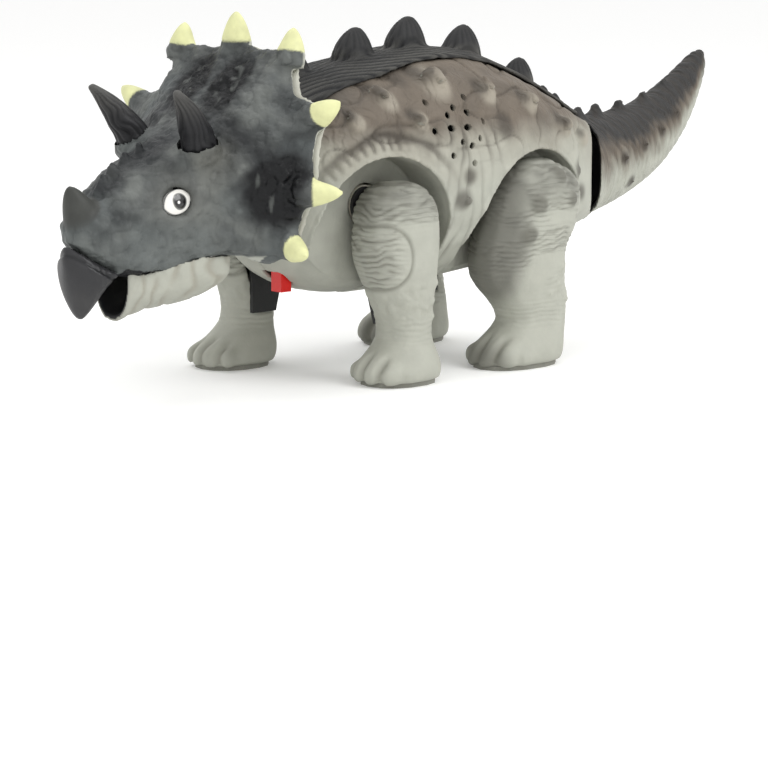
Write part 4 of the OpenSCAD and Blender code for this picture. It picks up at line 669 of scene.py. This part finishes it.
def buildHead():
    obj, mesh, points, normals = skinFrom("head_shell", head, headCones())
    p = turnedBack(points, headTurn)
    n = turnedBack(normals, headFacing)
    x, y, z = p.T
    side = np.abs(y)
    front = smoothStep(-0.25, 0.1, n[:, 0] + 0.6 * np.abs(n[:, 1]) + 0.5 * n[:, 2])
    mirrored = np.column_stack([x, side, z])
    spikes = np.max([coneMask(mirrored, cone, 0.1, 0.15) for cone in head["spikes"]], axis=0)
    horn = coneMask(p, head["noseHorn"], 0.05, 0.2)
    plain = (1 - spikes) * (1 - horn)
    patch = front * np.max([ellipseMask(side, z, q["centre"], q["radii"], q["soft"]) * (x < q["until"])
                            for q in head["patches"]], axis=0)
    halo = np.max([ellipseMask(side, z, q["centre"], np.multiply(q["radii"], q["halo"]), 0.5)
                   * (x < q["haloUntil"]) for q in head["patches"]], axis=0)
    (y0, z0), (y1, z1), width, until = head["valley"]
    t = ((side - y0) * (y1 - y0) + (z - z0) * (z1 - z0)) / ((y1 - y0) ** 2 + (z1 - z0) ** 2)
    t = np.clip(t, 0, 1)
    fromValley = np.hypot(side - y0 - t * (y1 - y0), z - z0 - t * (z1 - z0))
    valley = np.exp(-(fromValley / width) ** 2) * (x < until)
    ex, ez = head["eye"]["place"]
    atEye = side > head["eye"]["beside"]
    eyeDistance = np.hypot((x - ex) / head["eye"]["radii"][0], (z - ez) / head["eye"]["radii"][1])
    lid = np.exp(-((eyeDistance - 1.15) / 0.22) ** 2) * atEye
    calm = 1 - 0.75 * np.exp(-(eyeDistance / 2.2) ** 2) * atEye
    crease = smoothStep(0.86, 1.0, 1 - np.abs(2 * noise(p, (5, 5, 3.5), 29) - 1))
    lumps = (noise(p, 7, 21) - 0.5) + 1.1 * (noise(p, 2.6, 22) - 0.5) - 0.22 * crease
    knots = noise(p, 2.6, 23) + 0.6 * noise(p, 5, 24) - 0.8
    relief = head["lumpDepth"] * lumps * calm + head["patchDepth"] * knots * patch + 0.8 * lid
    height = front * plain * relief
    moved = hornSeat(turnedBack(points + normals * height[:, None], headTurn))
    setPoints(mesh, turnedOut(moved, headTurn))
    tone = 0.6 * noise(p, 11, 25) + 0.4 * noise(p, 5, 20)
    eyeGlow = np.exp(-((x - ex) ** 2 + (z - ez) ** 2) / 110) * atEye
    top = smoothStep(11, 3, side) * smoothStep(100, 120, x) * smoothStep(70, 76, z)
    bx, by, bz = browHorn["base"]
    socket = np.exp(-(np.hypot(np.hypot(x - bx, side - by), z - bz + 1) / 11) ** 2)
    edge = smoothStep(2.0, 0.9, z - lipHeight(x)) * (x < 147) * (x > 104)
    backFace = smoothStep(-0.15, -0.45, n[:, 0] + 0.35 * n[:, 2]) * smoothStep(108, 102, x)
    mouthShade = (n[:, 2] < -0.6) & (side < 14) & (z < 58) & (x < 147)
    colour = brushed(head["slate"], [
        (head["deepSlate"], 0.95 * smoothStep(0.5, 0.68, tone)),
        (head["paleSlate"], 0.85 * smoothStep(0.5, 0.32, tone)),
        (head["blueSlate"], 0.6 * smoothStep(0.5, 0.75, noise(p, 14, 19))),
        (head["eyeShade"], 0.55 * eyeGlow),
        (head["deepSlate"], 0.5 * smoothStep(100, 92, x) * smoothStep(90, 108, z) * (side < 20)),
        # painted shade in the creases
        (soot * 1.6, 0.2 * crease * front),
        (head["cheekSlate"], 0.5 * smoothStep(66, 50, z) * (x > 108)),
        (soot * 1.8, 0.75 * top),
        (head["socketTan"], 0.6 * socket * smoothStep(16, 22, side)),
        (soot * 1.5, 0.75 * valley * front * smoothStep(0.2, 0.6, valley + 0.5 * noise(p, 3, 28))),
        (soot * 1.8, 0.7 * halo * front * smoothStep(0.25, 0.7, halo + 0.7 * (noise(p, 2.2, 18) - 0.5))),
        (soot * 0.6, 0.97 * smoothStep(0.15, 0.75, patch + 0.4 * (noise(p, 3, 26) - 0.5))),
        # painted highlight: paler streaks on the wrinkles of the black patches
        (head["paleSlate"], 0.45 * smoothStep(0.66, 0.85, noise(p, (1.6, 1.6, 7), 27) * patch)),
        # painted shade where the relief is sunk
        (head["deepSlate"], np.clip(-height * 0.5, 0, 0.5) * (1 - patch)),
        (head["noseGrey"], 0.95 * horn),
        (paleEdge, 0.7 * edge),
        (paleEdge, 0.9 * backFace),
        # painted shade: the underside of the head inside the mouth is made black
        (soot, 1.0 * mouthShade),
        (head["bone"], smoothStep(0.35, 0.6, spikes)),
    ])
    paintSkin(mesh, colour, wrinkle=plain * (0.25 + 0.7 * patch) * calm,
              pebble=plain * (0.6 + 0.4 * patch) * calm)
    finishSkin(obj, "head_shell", "head", headMaterial)


buildHead()
print("head done")

# Lining behind the frill
lining = {"voxel": 0.7, "keep": 0.3, "heavy": 15}
# Moulded plastic, unpainted: pale, even and matt
liningMaterial = skinMaterial("paleLiningPlastic", {"pebble": 2.5, "wrinkle": 3, "relief": 0.3})


def buildLining():
    obj, mesh, points, _ = skinFrom("frill_back", lining)
    colour = brushed(paleEdge, [(warmGrey, 0.5 * noise(points, 10, 31))])
    paintSkin(mesh, colour, wrinkle=0.2, pebble=0.2)
    finishSkin(obj, "frill_back", "head", liningMaterial)


buildLining()

# Beak: satin black with a crisp rim groove under the nose
beak = {"voxel": 0.45, "keep": 0.4, "heavy": 30, "rimDepth": 0.5, "rimWidth": 0.8, "rimRise": 0.7,
        "beakBlack": linear("#2b2b2d"), "wornGrey": linear("#454443")}
# Black ABS, moulded smooth: a soft highlight runs along its curve
beakMaterial = skinMaterial("satinBeakPlastic", {
    "mottle": 4, "mottleDepth": 0.08, "rough": 0.36, "grain": 0.6, "pebble": 3, "wrinkle": 2.2, "bands": "X",
    "relief": 0.25, "wander": 4.0})


def buildBeak():
    obj, mesh, points, normals = skinFrom("beak", beak)
    p = turnedBack(points, headTurn)
    underLip = lipHeight(p[:, 0]) - p[:, 2]
    rim = np.exp(-((underLip - 3.2) / beak["rimWidth"]) ** 2)
    raised = points - normals * (beak["rimDepth"] * rim)[:, None]
    raised[:, 2] += beak["rimRise"] * smoothStep(3.0, 0.8, underLip)
    setPoints(mesh, raised)
    colour = brushed(beak["beakBlack"], [
        # painted shade in the rim groove
        (soot, rim),
        (beak["wornGrey"], 0.5 * smoothStep(46, 36, p[:, 2]) * noise(p, 5, 33)),
    ])
    paintSkin(mesh, colour, wrinkle=0.35, pebble=0.05)
    finishSkin(obj, "beak", "head", beakMaterial)


buildBeak()

# Brow horns: black, grooved along their length, paler towards the tip
# Black plastic, moulded with grooves: paler ribs, with painted shade making the grooves darker
hornMaterial = skinMaterial("grooveHornPlastic", {
    "mottle": 3, "mottleDepth": 0.1, "rough": 0.45, "grain": 0.6, "pebble": 2, "wrinkle": 2, "relief": 0.2,
    "specular": 0.25})


def buildBrowHorn(node):
    obj, mesh, points, normals = skinFrom(node, browHorn)
    p = turnedBack(points, headTurn)
    t, x, y = hornPlace(p)
    around = np.arctan2(y, x) / (2 * np.pi)
    warp = 0.12 * (noise(p, 5, 35) - 0.5)
    cut = grooves((around + warp) * browHorn["grooveCount"], 2) * smoothStep(1.0, 0.8, t)
    fuller = browHorn["fuller"] * smoothStep(0.12, 0.35, t)
    setPoints(mesh, points + normals * (fuller - browHorn["grooveDepth"] * cut)[:, None])
    colour = brushed(browHorn["browBlack"], [
        (browHorn["tipGrey"], 0.75 * smoothStep(0.35, 1.0, t)),
        # painted shade in the grooves
        (soot * 0.7, 0.7 * cut),
    ])
    paintSkin(mesh, colour, wrinkle=0.1, pebble=0.1)
    finishSkin(obj, node, "head", hornMaterial)


buildBrowHorn("brow_horn_left")
buildBrowHorn("brow_horn_right")

# Eyes: a glossy almond dome with a painted pupil and glint
eye = {"place": (128.5, 15.4, 69.5), "tilt": 12.0, "lean": 8.0, "half": (6.0, 4.1), "rise": 1.7, "base": 1.4,
       "pupil": 2.3, "ring": 2.8, "glint": (0.5, -0.3, 0.5), "slant": 18.0, "rings": 28, "sides": 72,
       "white": linear("#eceae4"), "irisGrey": linear("#5f605e"), "pupilBlack": linear("#0b0b0c"),
       "glintWhite": linear("#f4f4f2"), "lidGrey": linear("#55585a")}


# Gloss white paint with black pupil, lacquered, so lamps show in it as small sharp lights
def eyeMaterial():
    material, tree, shader = newMaterial("lacqueredEyePaint")
    paint = addNode(tree, "ShaderNodeAttribute", attribute_name="paint")
    place = addNode(tree, "ShaderNodeTexCoord").outputs["Object"]
    grain = addNode(tree, "ShaderNodeTexNoise", [("Vector", place)], Scale=noiseScale(1.5), Detail=3.0)
    bump = addNode(tree, "ShaderNodeBump", [("Height", grain.outputs["Fac"])], Strength=0.1, Distance=0.0001)
    tree.links.new(paint.outputs["Color"], shader.inputs["Base Color"])
    tree.links.new(bump.outputs["Normal"], shader.inputs["Normal"])
    shader.inputs["Roughness"].default_value = 0.22
    shader.inputs["Coat Weight"].default_value = 0.4
    return material


eyePaint = eyeMaterial()


def buildEye(node, hand):
    rings, sides = eye["rings"], eye["sides"]
    radius, angle = np.meshgrid(
        np.linspace(0, 1, rings), np.linspace(0, 2 * np.pi, sides, endpoint=False), indexing="ij")
    radius, angle = radius.ravel(), angle.ravel()
    # The almond narrows to a point at front and rear
    pinch = 1 - 0.38 * np.abs(np.cos(angle)) ** 5
    u = eye["half"][0] * radius * np.cos(angle)
    v = eye["half"][1] * radius * np.sin(angle) * pinch
    w = eye["base"] + eye["rise"] * (1 - radius ** 2)
    slant = math.radians(eye["slant"])
    across = u * math.cos(slant) - v * math.sin(slant)
    upward = u * math.sin(slant) + v * math.cos(slant)
    tilt, lean = math.radians(eye["tilt"]), math.radians(eye["lean"])
    forward = Vector((math.cos(lean), -math.sin(lean), 0))
    out = Vector((math.sin(lean) * math.cos(tilt), math.cos(lean) * math.cos(tilt), math.sin(tilt)))
    up = out.cross(forward)
    up = up if up.z > 0 else -up
    dome = np.array(eye["place"]) + np.column_stack([across, upward, w]) @ np.array([-forward, up, out])
    skirt = dome[-sides:] - np.array(out) * (eye["base"] - 0.2)
    placed = turnedOut(np.vstack([dome, skirt]) * (1, hand, 1), headTurn)
    faces = ringFaces(rings + 1, sides)
    obj = newPiece(node + "Dome", placed, faces if hand > 0 else [face[::-1] for face in faces])
    mesh = obj.data
    mesh.validate()
    mesh.update()
    fromPupil = np.hypot(across - 0.2, upward)
    glintX, glintZ, glintRadius = eye["glint"]
    fromGlint = np.hypot(across + glintX, upward - glintZ)
    painted = brushed(eye["white"], [
        (eye["irisGrey"], smoothStep(eye["ring"] + 0.25, eye["ring"] - 0.1, fromPupil)),
        (eye["pupilBlack"], smoothStep(eye["pupil"] + 0.2, eye["pupil"] - 0.1, fromPupil)),
        (eye["glintWhite"], smoothStep(glintRadius + 0.15, glintRadius - 0.1, fromGlint)),
        (eye["lidGrey"], smoothStep(0.93, 1.0, radius)),
    ])
    paintSkin(mesh, np.vstack([painted, np.tile(eye["white"], (sides, 1))]))
    finishSkin(obj, node, "head", eyePaint)


buildEye("eye_left", 1)
buildEye("eye_right", -1)
print("face done")

# Lower jaw: pale outside with soft folds, darkened in its folds and inside by painted shade
jaw = {"voxel": 0.6, "keep": 0.35, "heavy": 20, "foldSpacing": 7.5, "foldDepth": 0.6,
       "chinShade": linear("#8d8c83")}
# Pale vinyl, moulded: matt, with wide soft folds
jawMaterial = skinMaterial("paleJawPlastic", {
    "pebble": 2.4, "wrinkle": 4.0, "bands": "X", "relief": 0.3, "wander": 12.0, "wanderScale": 1.5})


def buildJaw():
    obj, mesh, points, normals = skinFrom("lower_jaw", jaw)
    p = turnedBack(points, headTurn)
    n = turnedBack(normals, headFacing)
    x, y, z = p.T
    outside = smoothStep(-0.1, 0.3, n[:, 1] * np.sign(y) - 0.8 * n[:, 2])
    warp = 14 * (noise(p, 12, 41) - 0.5) + 5 * (noise(p, 5, 43) - 0.5)
    fold = grooves((x - 0.2 * z + warp) / jaw["foldSpacing"], 3) * smoothStep(0.35, 0.6, noise(p, 8, 44))
    height = jaw["foldDepth"] * outside * (0.25 - fold) * smoothStep(144, 138, x)
    raised = points + normals * height[:, None]
    raised[:, 2] += (0.6 + 1.4 * smoothStep(120, 138, x)) * smoothStep(4.0, 1.0, lipHeight(x) - z)
    setPoints(mesh, raised)
    colour = brushed(paleGrey, [
        # painted shade in the folds
        (warmGrey, 0.6 * fold),
        (jaw["chinShade"], 0.7 * smoothStep(42, 30, z) * noise(p, 8, 42)),
        # painted shade: the inside of the jaw is darkened
        (soot * 0.6, smoothStep(0.5, 0.15, outside)),
    ])
    paintSkin(mesh, colour, wrinkle=0.4 * outside, pebble=0.3 * outside)
    finishSkin(obj, "lower_jaw", "jaw", jawMaterial)


buildJaw()

# Tail: dark along the top, pale below, ringed with fine folds
tail = {
    "voxel": 0.8, "keep": 0.4, "heavy": 40, "front": -82.9, "length": 84.0, "middle": 65.5,
    "ringSpacing": 4.6, "ringDepth": 0.45,
    "rows": [(-0.16, 0.8, 24.4), (0, 0.3, 19.4), (0.14, 1.8, 18.2), (0.33, 4.6, 16.2), (0.53, 9.6, 13.8),
             (0.74, 19.5, 10.4), (0.89, 30.5, 6.9), (0.97, 37.8, 4.4), (1, 40.6, 1.6)],
    "bumps": [(0.12, 8), (0.3, 14), (0.47, 20), (0.2, -28), (0.62, 24)],
    "spikes": [(0.04, 3.5), (0.17, 3.7), (0.35, 3.5), (0.53, 3.3), (0.7, 2.8)],
}
# Moulded vinyl, airbrushed: matt, ringed with close wrinkles
tailMaterial = skinMaterial("airbrushedTailPlastic", {
    "mottleDepth": 0.08, "pebble": 2.2, "wrinkle": 2.2, "bands": "X", "relief": 0.6, "wander": 6.0,
    "wanderScale": 0.8})


# Height of the tail's middle line and its radius at a share of its length
def tailSection(share):
    spots, rises, radii = zip(*tail["rows"])
    return tail["middle"] + np.interp(share, spots, rises), np.interp(share, spots, radii)


def buildTail():
    cones = []
    for at, r in tail["spikes"]:
        foot = np.array([tail["front"] - at * tail["length"], 0, sum(tailSection(at)) - 1.2])
        points, faces = bluntCone(foot, foot + (-0.6, 0, 1.2 + 1.1 * r), r, 0.8)
        cones.append((turnedOut(points, tailTurn), faces))
    obj, mesh, points, normals = skinFrom("tail_shell", tail, cones)
    p = turnedBack(points, tailTurn)
    x, y, z = p.T
    share = (tail["front"] - x) / tail["length"]
    middle, radius = tailSection(share)
    up = (z - middle) / radius
    outside = smoothStep(0.1, 0.4, normals[:, 2] * up + normals[:, 1] * y / radius)
    warp = 6 * (noise(p, 8, 51) - 0.5) + 3 * (noise(p, 4, 54) - 0.5)
    rings = grooves((x - 0.35 * z + warp) / tail["ringSpacing"], 2)
    height = -tail["ringDepth"] * outside * rings * smoothStep(-0.05, 0.05, share)
    setPoints(mesh, points + normals * height[:, None])
    drift = 0.35 * (noise(p, 8, 52) - 0.5) + 0.25 * (noise(p, (1.6, 5, 5), 53) - 0.5)
    bumps = []
    for at, angle in tail["bumps"]:
        bumpMiddle, bumpRadius = tailSection(at)
        bx = tail["front"] - at * tail["length"]
        bz = bumpMiddle + bumpRadius * math.sin(math.radians(angle))
        bumps.append(ellipseMask(x, z, (bx - 0.5, bz), (2.6, 2.4), 0.5))
    colour = brushed(paleGrey, [
        (taupe, smoothStep(-0.35, 0.35, up + drift)),
        (charcoal, 0.97 * smoothStep(0.22, 0.66, up + drift)),
        (charcoal, 0.8 * smoothStep(0.86, 1.0, share + 0.1 * drift)),
        # painted shade in the ring grooves
        (darkTaupe, 0.4 * rings * smoothStep(-0.2, 0.3, up)),
        *((darkTaupe, 0.8 * bump) for bump in bumps),
        # painted shade: the inside of the shell is made black
        (soot, 0.9 * (outside < 0.05) * (share < 0.6)),
    ])
    paintSkin(mesh, colour, wrinkle=0.7 * outside, pebble=0.2 * outside)
    finishSkin(obj, "tail_shell", "tail", tailMaterial)


buildTail()
print("jaw and tail done")

# Legs: pale grey with wrinkled skin, a padded panel at the front and creased toes
legs = {
    "left_front": {"hip": frontHip, "sole": -5.6, "top": -4.4, "side": 1, "front": True, "seed": 60},
    "right_front": {"hip": frontHip, "sole": 15.2, "top": 4.4, "side": -1, "front": True, "seed": 70},
    "left_rear": {"hip": rearHip, "sole": 8.9, "top": -2.0, "side": 1, "front": False, "seed": 80},
    "right_rear": {"hip": rearHip, "sole": 2.5, "top": 2.0, "side": -1, "front": False, "seed": 90},
}
legSkin = {
    "voxel": 0.6, "keep": 1.1, "heavy": 40, "panelCentre": (14.0, 45.5), "panelRadii": (10.5, 12.0),
    "panelDepth": 0.7, "lineWidth": 0.06, "wrinkleSpacing": 2.4, "wrinkleDepth": 0.45, "lump": 0.5,
    "bumpRise": 1.2, "toeSpacing": 7.2, "toeShift": 1.2, "soleTop": 1.7,
    "thighBumps": [(-2.3, 70.2, 2.6), (10.0, 60.4, 3.2), (14.5, 49.5, 3.0), (-6.8, 61, 2.6)],
    "creaseShade": linear("#76756b"), "panelGrooveShade": linear("#7c7c72"), "shinShade": linear("#5b5a53"),
    "thighShade": linear("#5a5952"), "toeShade": linear("#86857b"), "bumpShade": linear("#66655c"),
}
# Pale vinyl, moulded with fine wrinkles: matt, and lively only in a side light
legMaterial = skinMaterial("wrinkledLegPlastic", {
    "mottleDepth": 0.05, "rough": 0.62, "pebble": 2.3, "wrinkle": 1.8, "relief": 0.5, "wander": 6.0,
    "wanderScale": 0.5})


def buildLeg(name):
    leg = legs[name]
    node = name + "_leg"
    seed = leg["seed"]
    obj, mesh, points, normals = skinFrom(node, legSkin)
    x, y, z = points.T
    axis = leg["hip"] + leg["sole"] + (leg["top"] - leg["sole"]) * np.minimum(z, hipHeight) / hipHeight
    ahead = x - axis
    aside = leg["side"] * y - legMiddle
    facing = (normals[:, 0] * ahead + leg["side"] * normals[:, 1] * aside) / (np.hypot(ahead, aside) + tiny)
    outside = smoothStep(-0.2, 0.25, facing + 0.3 * normals[:, 2])
    warp = 4.5 * (noise(points, 8, seed) - 0.5) + 1.8 * (noise(points, 3.5, seed + 7) - 0.5)
    wrinkle = grooves((z + 0.05 * ahead * ahead / 6 + warp) / legSkin["wrinkleSpacing"], 2)
    wrinkle *= smoothStep(0.28, 0.55, noise(points, (6, 6, 2.6), seed + 6))
    panel, panelEdge, bump = np.zeros((3, len(x)))
    shin = smoothStep(9, 19, ahead + 4 * (noise(points, 9, seed + 3) - 0.5))
    if leg["front"]:
        d = np.hypot((ahead - legSkin["panelCentre"][0]) / legSkin["panelRadii"][0],
                     (z - legSkin["panelCentre"][1]) / legSkin["panelRadii"][1])
        panel = smoothStep(1.0, 0.9, d)
        panelEdge = np.exp(-((d - 1) / legSkin["lineWidth"]) ** 2)
        strong = np.maximum(panel * smoothStep(4, 12, ahead), smoothStep(56, 61, z))
        pebbles = ellipseMask(ahead, z, (2, 28), (10, 8), 0.4)
        shin = 0.35 * shin * smoothStep(8, 20, z)
    else:
        strong = 0.8 * smoothStep(24, 46, z) * smoothStep(0.3, 0.55, noise(points, (9, 9, 5), seed + 5))
        pebbles = ellipseMask(ahead, z, (-14, 30), (9, 12), 0.4)
        shin = 0.8 * shin
        for sx, sz, r in legSkin["thighBumps"]:
            bump = np.maximum(bump, ellipseMask(ahead, z, (sx, sz), (r, r), 0.5))
    ankle = smoothStep(13, 17, z) * smoothStep(27, 21, z)
    toes = (aside + legSkin["toeShift"]) / legSkin["toeSpacing"]
    toeCrease = grooves(toes, 4) * smoothStep(6, 11, ahead - 2) * smoothStep(13, 9, z) * (z > 2)
    aboveSole = z > legSkin["soleTop"]
    toe = smoothStep(7, 12, ahead) * smoothStep(14, 8, z) * aboveSole
    height = -legSkin["wrinkleDepth"] * wrinkle * np.maximum(strong, 0.35 * ankle)
    height -= legSkin["panelDepth"] * panelEdge
    height += 1.1 * (noise(points, 2.6, seed + 1) - 0.45) * pebbles * (1 - ankle)
    height += legSkin["lump"] * (noise(points, 8, seed + 2) - 0.5)
    height += legSkin["bumpRise"] * bump
    height += toe * (0.9 - 1.9 * grooves(toes, 2))
    setPoints(mesh, points + normals * (height * outside * aboveSole)[:, None])
    colour = brushed(paleGrey, [
        # painted shade in the wrinkle grooves
        (legSkin["creaseShade"], 0.65 * wrinkle * strong),
        # painted shade in the groove round the panel
        (legSkin["panelGrooveShade"], 0.7 * panelEdge),
        # darker down the front of the leg: partly airbrush, partly painted shade
        (legSkin["shinShade"], shin * (1 - 0.6 * panel)),
        (legSkin["thighShade"], 0.75 * smoothStep(56, 68, z) * (0.4 + 0.6 * noise(points, 4, seed + 4))),
        # painted shade in the creases between the toes
        (legSkin["toeShade"], 0.6 * toeCrease),
        # painted shade: the raised bumps are darkened
        (legSkin["bumpShade"], 0.8 * bump),
    ])
    paintSkin(mesh, colour, wrinkle=outside * np.clip(0.04 + strong + 0.3 * ankle, 0, 1),
              pebble=outside * (0.15 + 0.8 * pebbles))
    finishSkin(obj, node, name, legMaterial)


for legName in legs:
    buildLeg(legName)
print("legs done")

# Pieces that keep their solid and get a finish of their own
slotFinish = {
    "leg_skin": mouldedMaterial("paleDoorPlastic", "#b3b4a9", 0.62, 0.9),  # moulded, matt like the skin
    "black_plastic": mouldedMaterial("mattBlackPlastic", "#141415", 0.55, 0.7),  # moulded ABS, dull black
    "steel": mouldedMaterial("turnedSteel", "#a9abad", 0.35, 0.5, 1.0, (1, 0.1, 1)),  # bright, finely streaked
    "nylon": mouldedMaterial("naturalNylon", "#ddd8c8", 0.45, 0.8),  # moulded nylon, milky with a soft shine
    "brass": mouldedMaterial("turnedBrass", "#b08d45", 0.3, 0.5, 1.0),  # turned brass, warm and bright
    "rubber": mouldedMaterial("soleRubber", "#8b8b82", 0.8, 0.6),  # moulded rubber, dry and grey
    "red_plastic": mouldedMaterial("redKnobPlastic", "#e0140c", 0.35, 0.8),  # moulded ABS, bright with a clear shine
    "cell_wrap": mouldedMaterial("cellWrap", "#3d6a3f", 0.35, 1.5),  # shrunk-on film, smooth
    "board_green": mouldedMaterial("boardLacquer", "#1f6a3c", 0.4, 1.2),  # lacquered board, even and slightly glossy
}
for subpart in frame["record"]["subparts"]:
    slot = subpart["material_slot"]
    nodeObject = frame["nodes"][subpart["node"]]
    if slot in slotFinish and not subpart["node"].endswith("_leg"):
        nodeObject.data.materials.clear()
        nodeObject.data.materials.append(slotFinish[slot])
print("plain pieces done")

# Studio: pale floor, soft lights, camera at the photograph's angle
studio = {
    "floorHalf": 4000.0, "floorColour": "#f6f6f5", "world": 0.85, "floorGlow": 0.16,
    "lights": {
        "keyLight": ((-0.35, 0.9, 0.95), (0, 0, 0.07), 0.7, 7),
        "fillLight": ((1.0, 0.55, 0.45), (0.05, 0, 0.07), 0.8, 1.5),
        "topLight": ((0.1, -0.25, 1.1), (0, 0, 0.07), 0.8, 3),
    },
}


# Rays that should see plain white: the camera's own, and those by way of gloss or clear plastic
def seenWhite(tree):
    rays = addNode(tree, "ShaderNodeLightPath").outputs
    seen = rays["Is Camera Ray"]
    for other in ("Is Glossy Ray", "Is Transmission Ray"):
        seen = addNode(tree, "ShaderNodeMath", [(0, seen), (1, rays[other])], operation="MAXIMUM").outputs[0]
    return seen


def buildFloor():
    half = studio["floorHalf"]
    corners = [(-half, -half, 0), (half, -half, 0), (half, half, 0), (-half, half, 0)]
    floor = newPiece("studioFloor", corners, [(0, 1, 2, 3)])
    paper = mouldedMaterial("studioFloorPaper", studio["floorColour"], 0.9, 2.5, drift=0.02)
    floor.data.materials.append(paper)
    tree = paper.node_tree
    glow = addNode(tree, "ShaderNodeMath", [(0, seenWhite(tree))], operation="MULTIPLY")
    glow.inputs[1].default_value = studio["floorGlow"]
    shader = tree.nodes["Principled BSDF"]
    shader.inputs["Emission Color"].default_value = (1, 1, 1, 1)
    tree.links.new(glow.outputs[0], shader.inputs["Emission Strength"])


def buildWorld():
    world = bpy.data.worlds.new("studioWorld")
    world.use_nodes = True
    tree = world.node_tree
    background = tree.nodes["Background"]
    background.inputs["Color"].default_value = (1, 1, 1, 1)
    brightness = addNode(tree, "ShaderNodeMapRange", [("Value", seenWhite(tree))], To_Min=studio["world"])
    tree.links.new(brightness.outputs["Result"], background.inputs["Strength"])
    bpy.context.scene.world = world


def areaLight(name, place, target, size, power):
    light = bpy.data.lights.new(name, "AREA")
    light.size = size
    light.energy = power
    obj = bpy.data.objects.new(name, light)
    obj.location = place
    obj.rotation_euler = (Vector(target) - Vector(place)).to_track_quat("-Z", "Y").to_euler()
    bpy.context.collection.objects.link(obj)


buildFloor()
buildWorld()
for lightName, lightSettings in studio["lights"].items():
    areaLight(lightName, *lightSettings)

photoView = {
    "target": (0, 0, 0.080), "distance": 1.107, "back": (0.670, 0.7364, 0.0924),
    "right": (-0.7396, 0.673, 0), "up": (-0.0622, -0.0683, 0.9957), "offset": (-31.0, -240.0),
    "focalPixels": 3000.0, "frame": 768.0,
}


def buildCamera():
    camera = bpy.data.cameras.new("photoCamera")
    camera.sensor_width = 36
    camera.lens = photoView["focalPixels"] / photoView["frame"] * camera.sensor_width
    obj = bpy.data.objects.new("photoCamera", camera)
    back, right, up = (Vector(photoView[key]) for key in ("back", "right", "up"))
    shiftRight, shiftUp = (pixels / photoView["focalPixels"] for pixels in photoView["offset"])
    aim = -back + right * shiftRight + up * shiftUp
    obj.location = Vector(photoView["target"]) + back * photoView["distance"]
    obj.rotation_euler = aim.to_track_quat("-Z", "Y").to_euler()
    bpy.context.collection.objects.link(obj)
    bpy.context.scene.camera = obj


buildCamera()
bpy.context.scene.view_settings.view_transform = "Standard"
print("studio done")
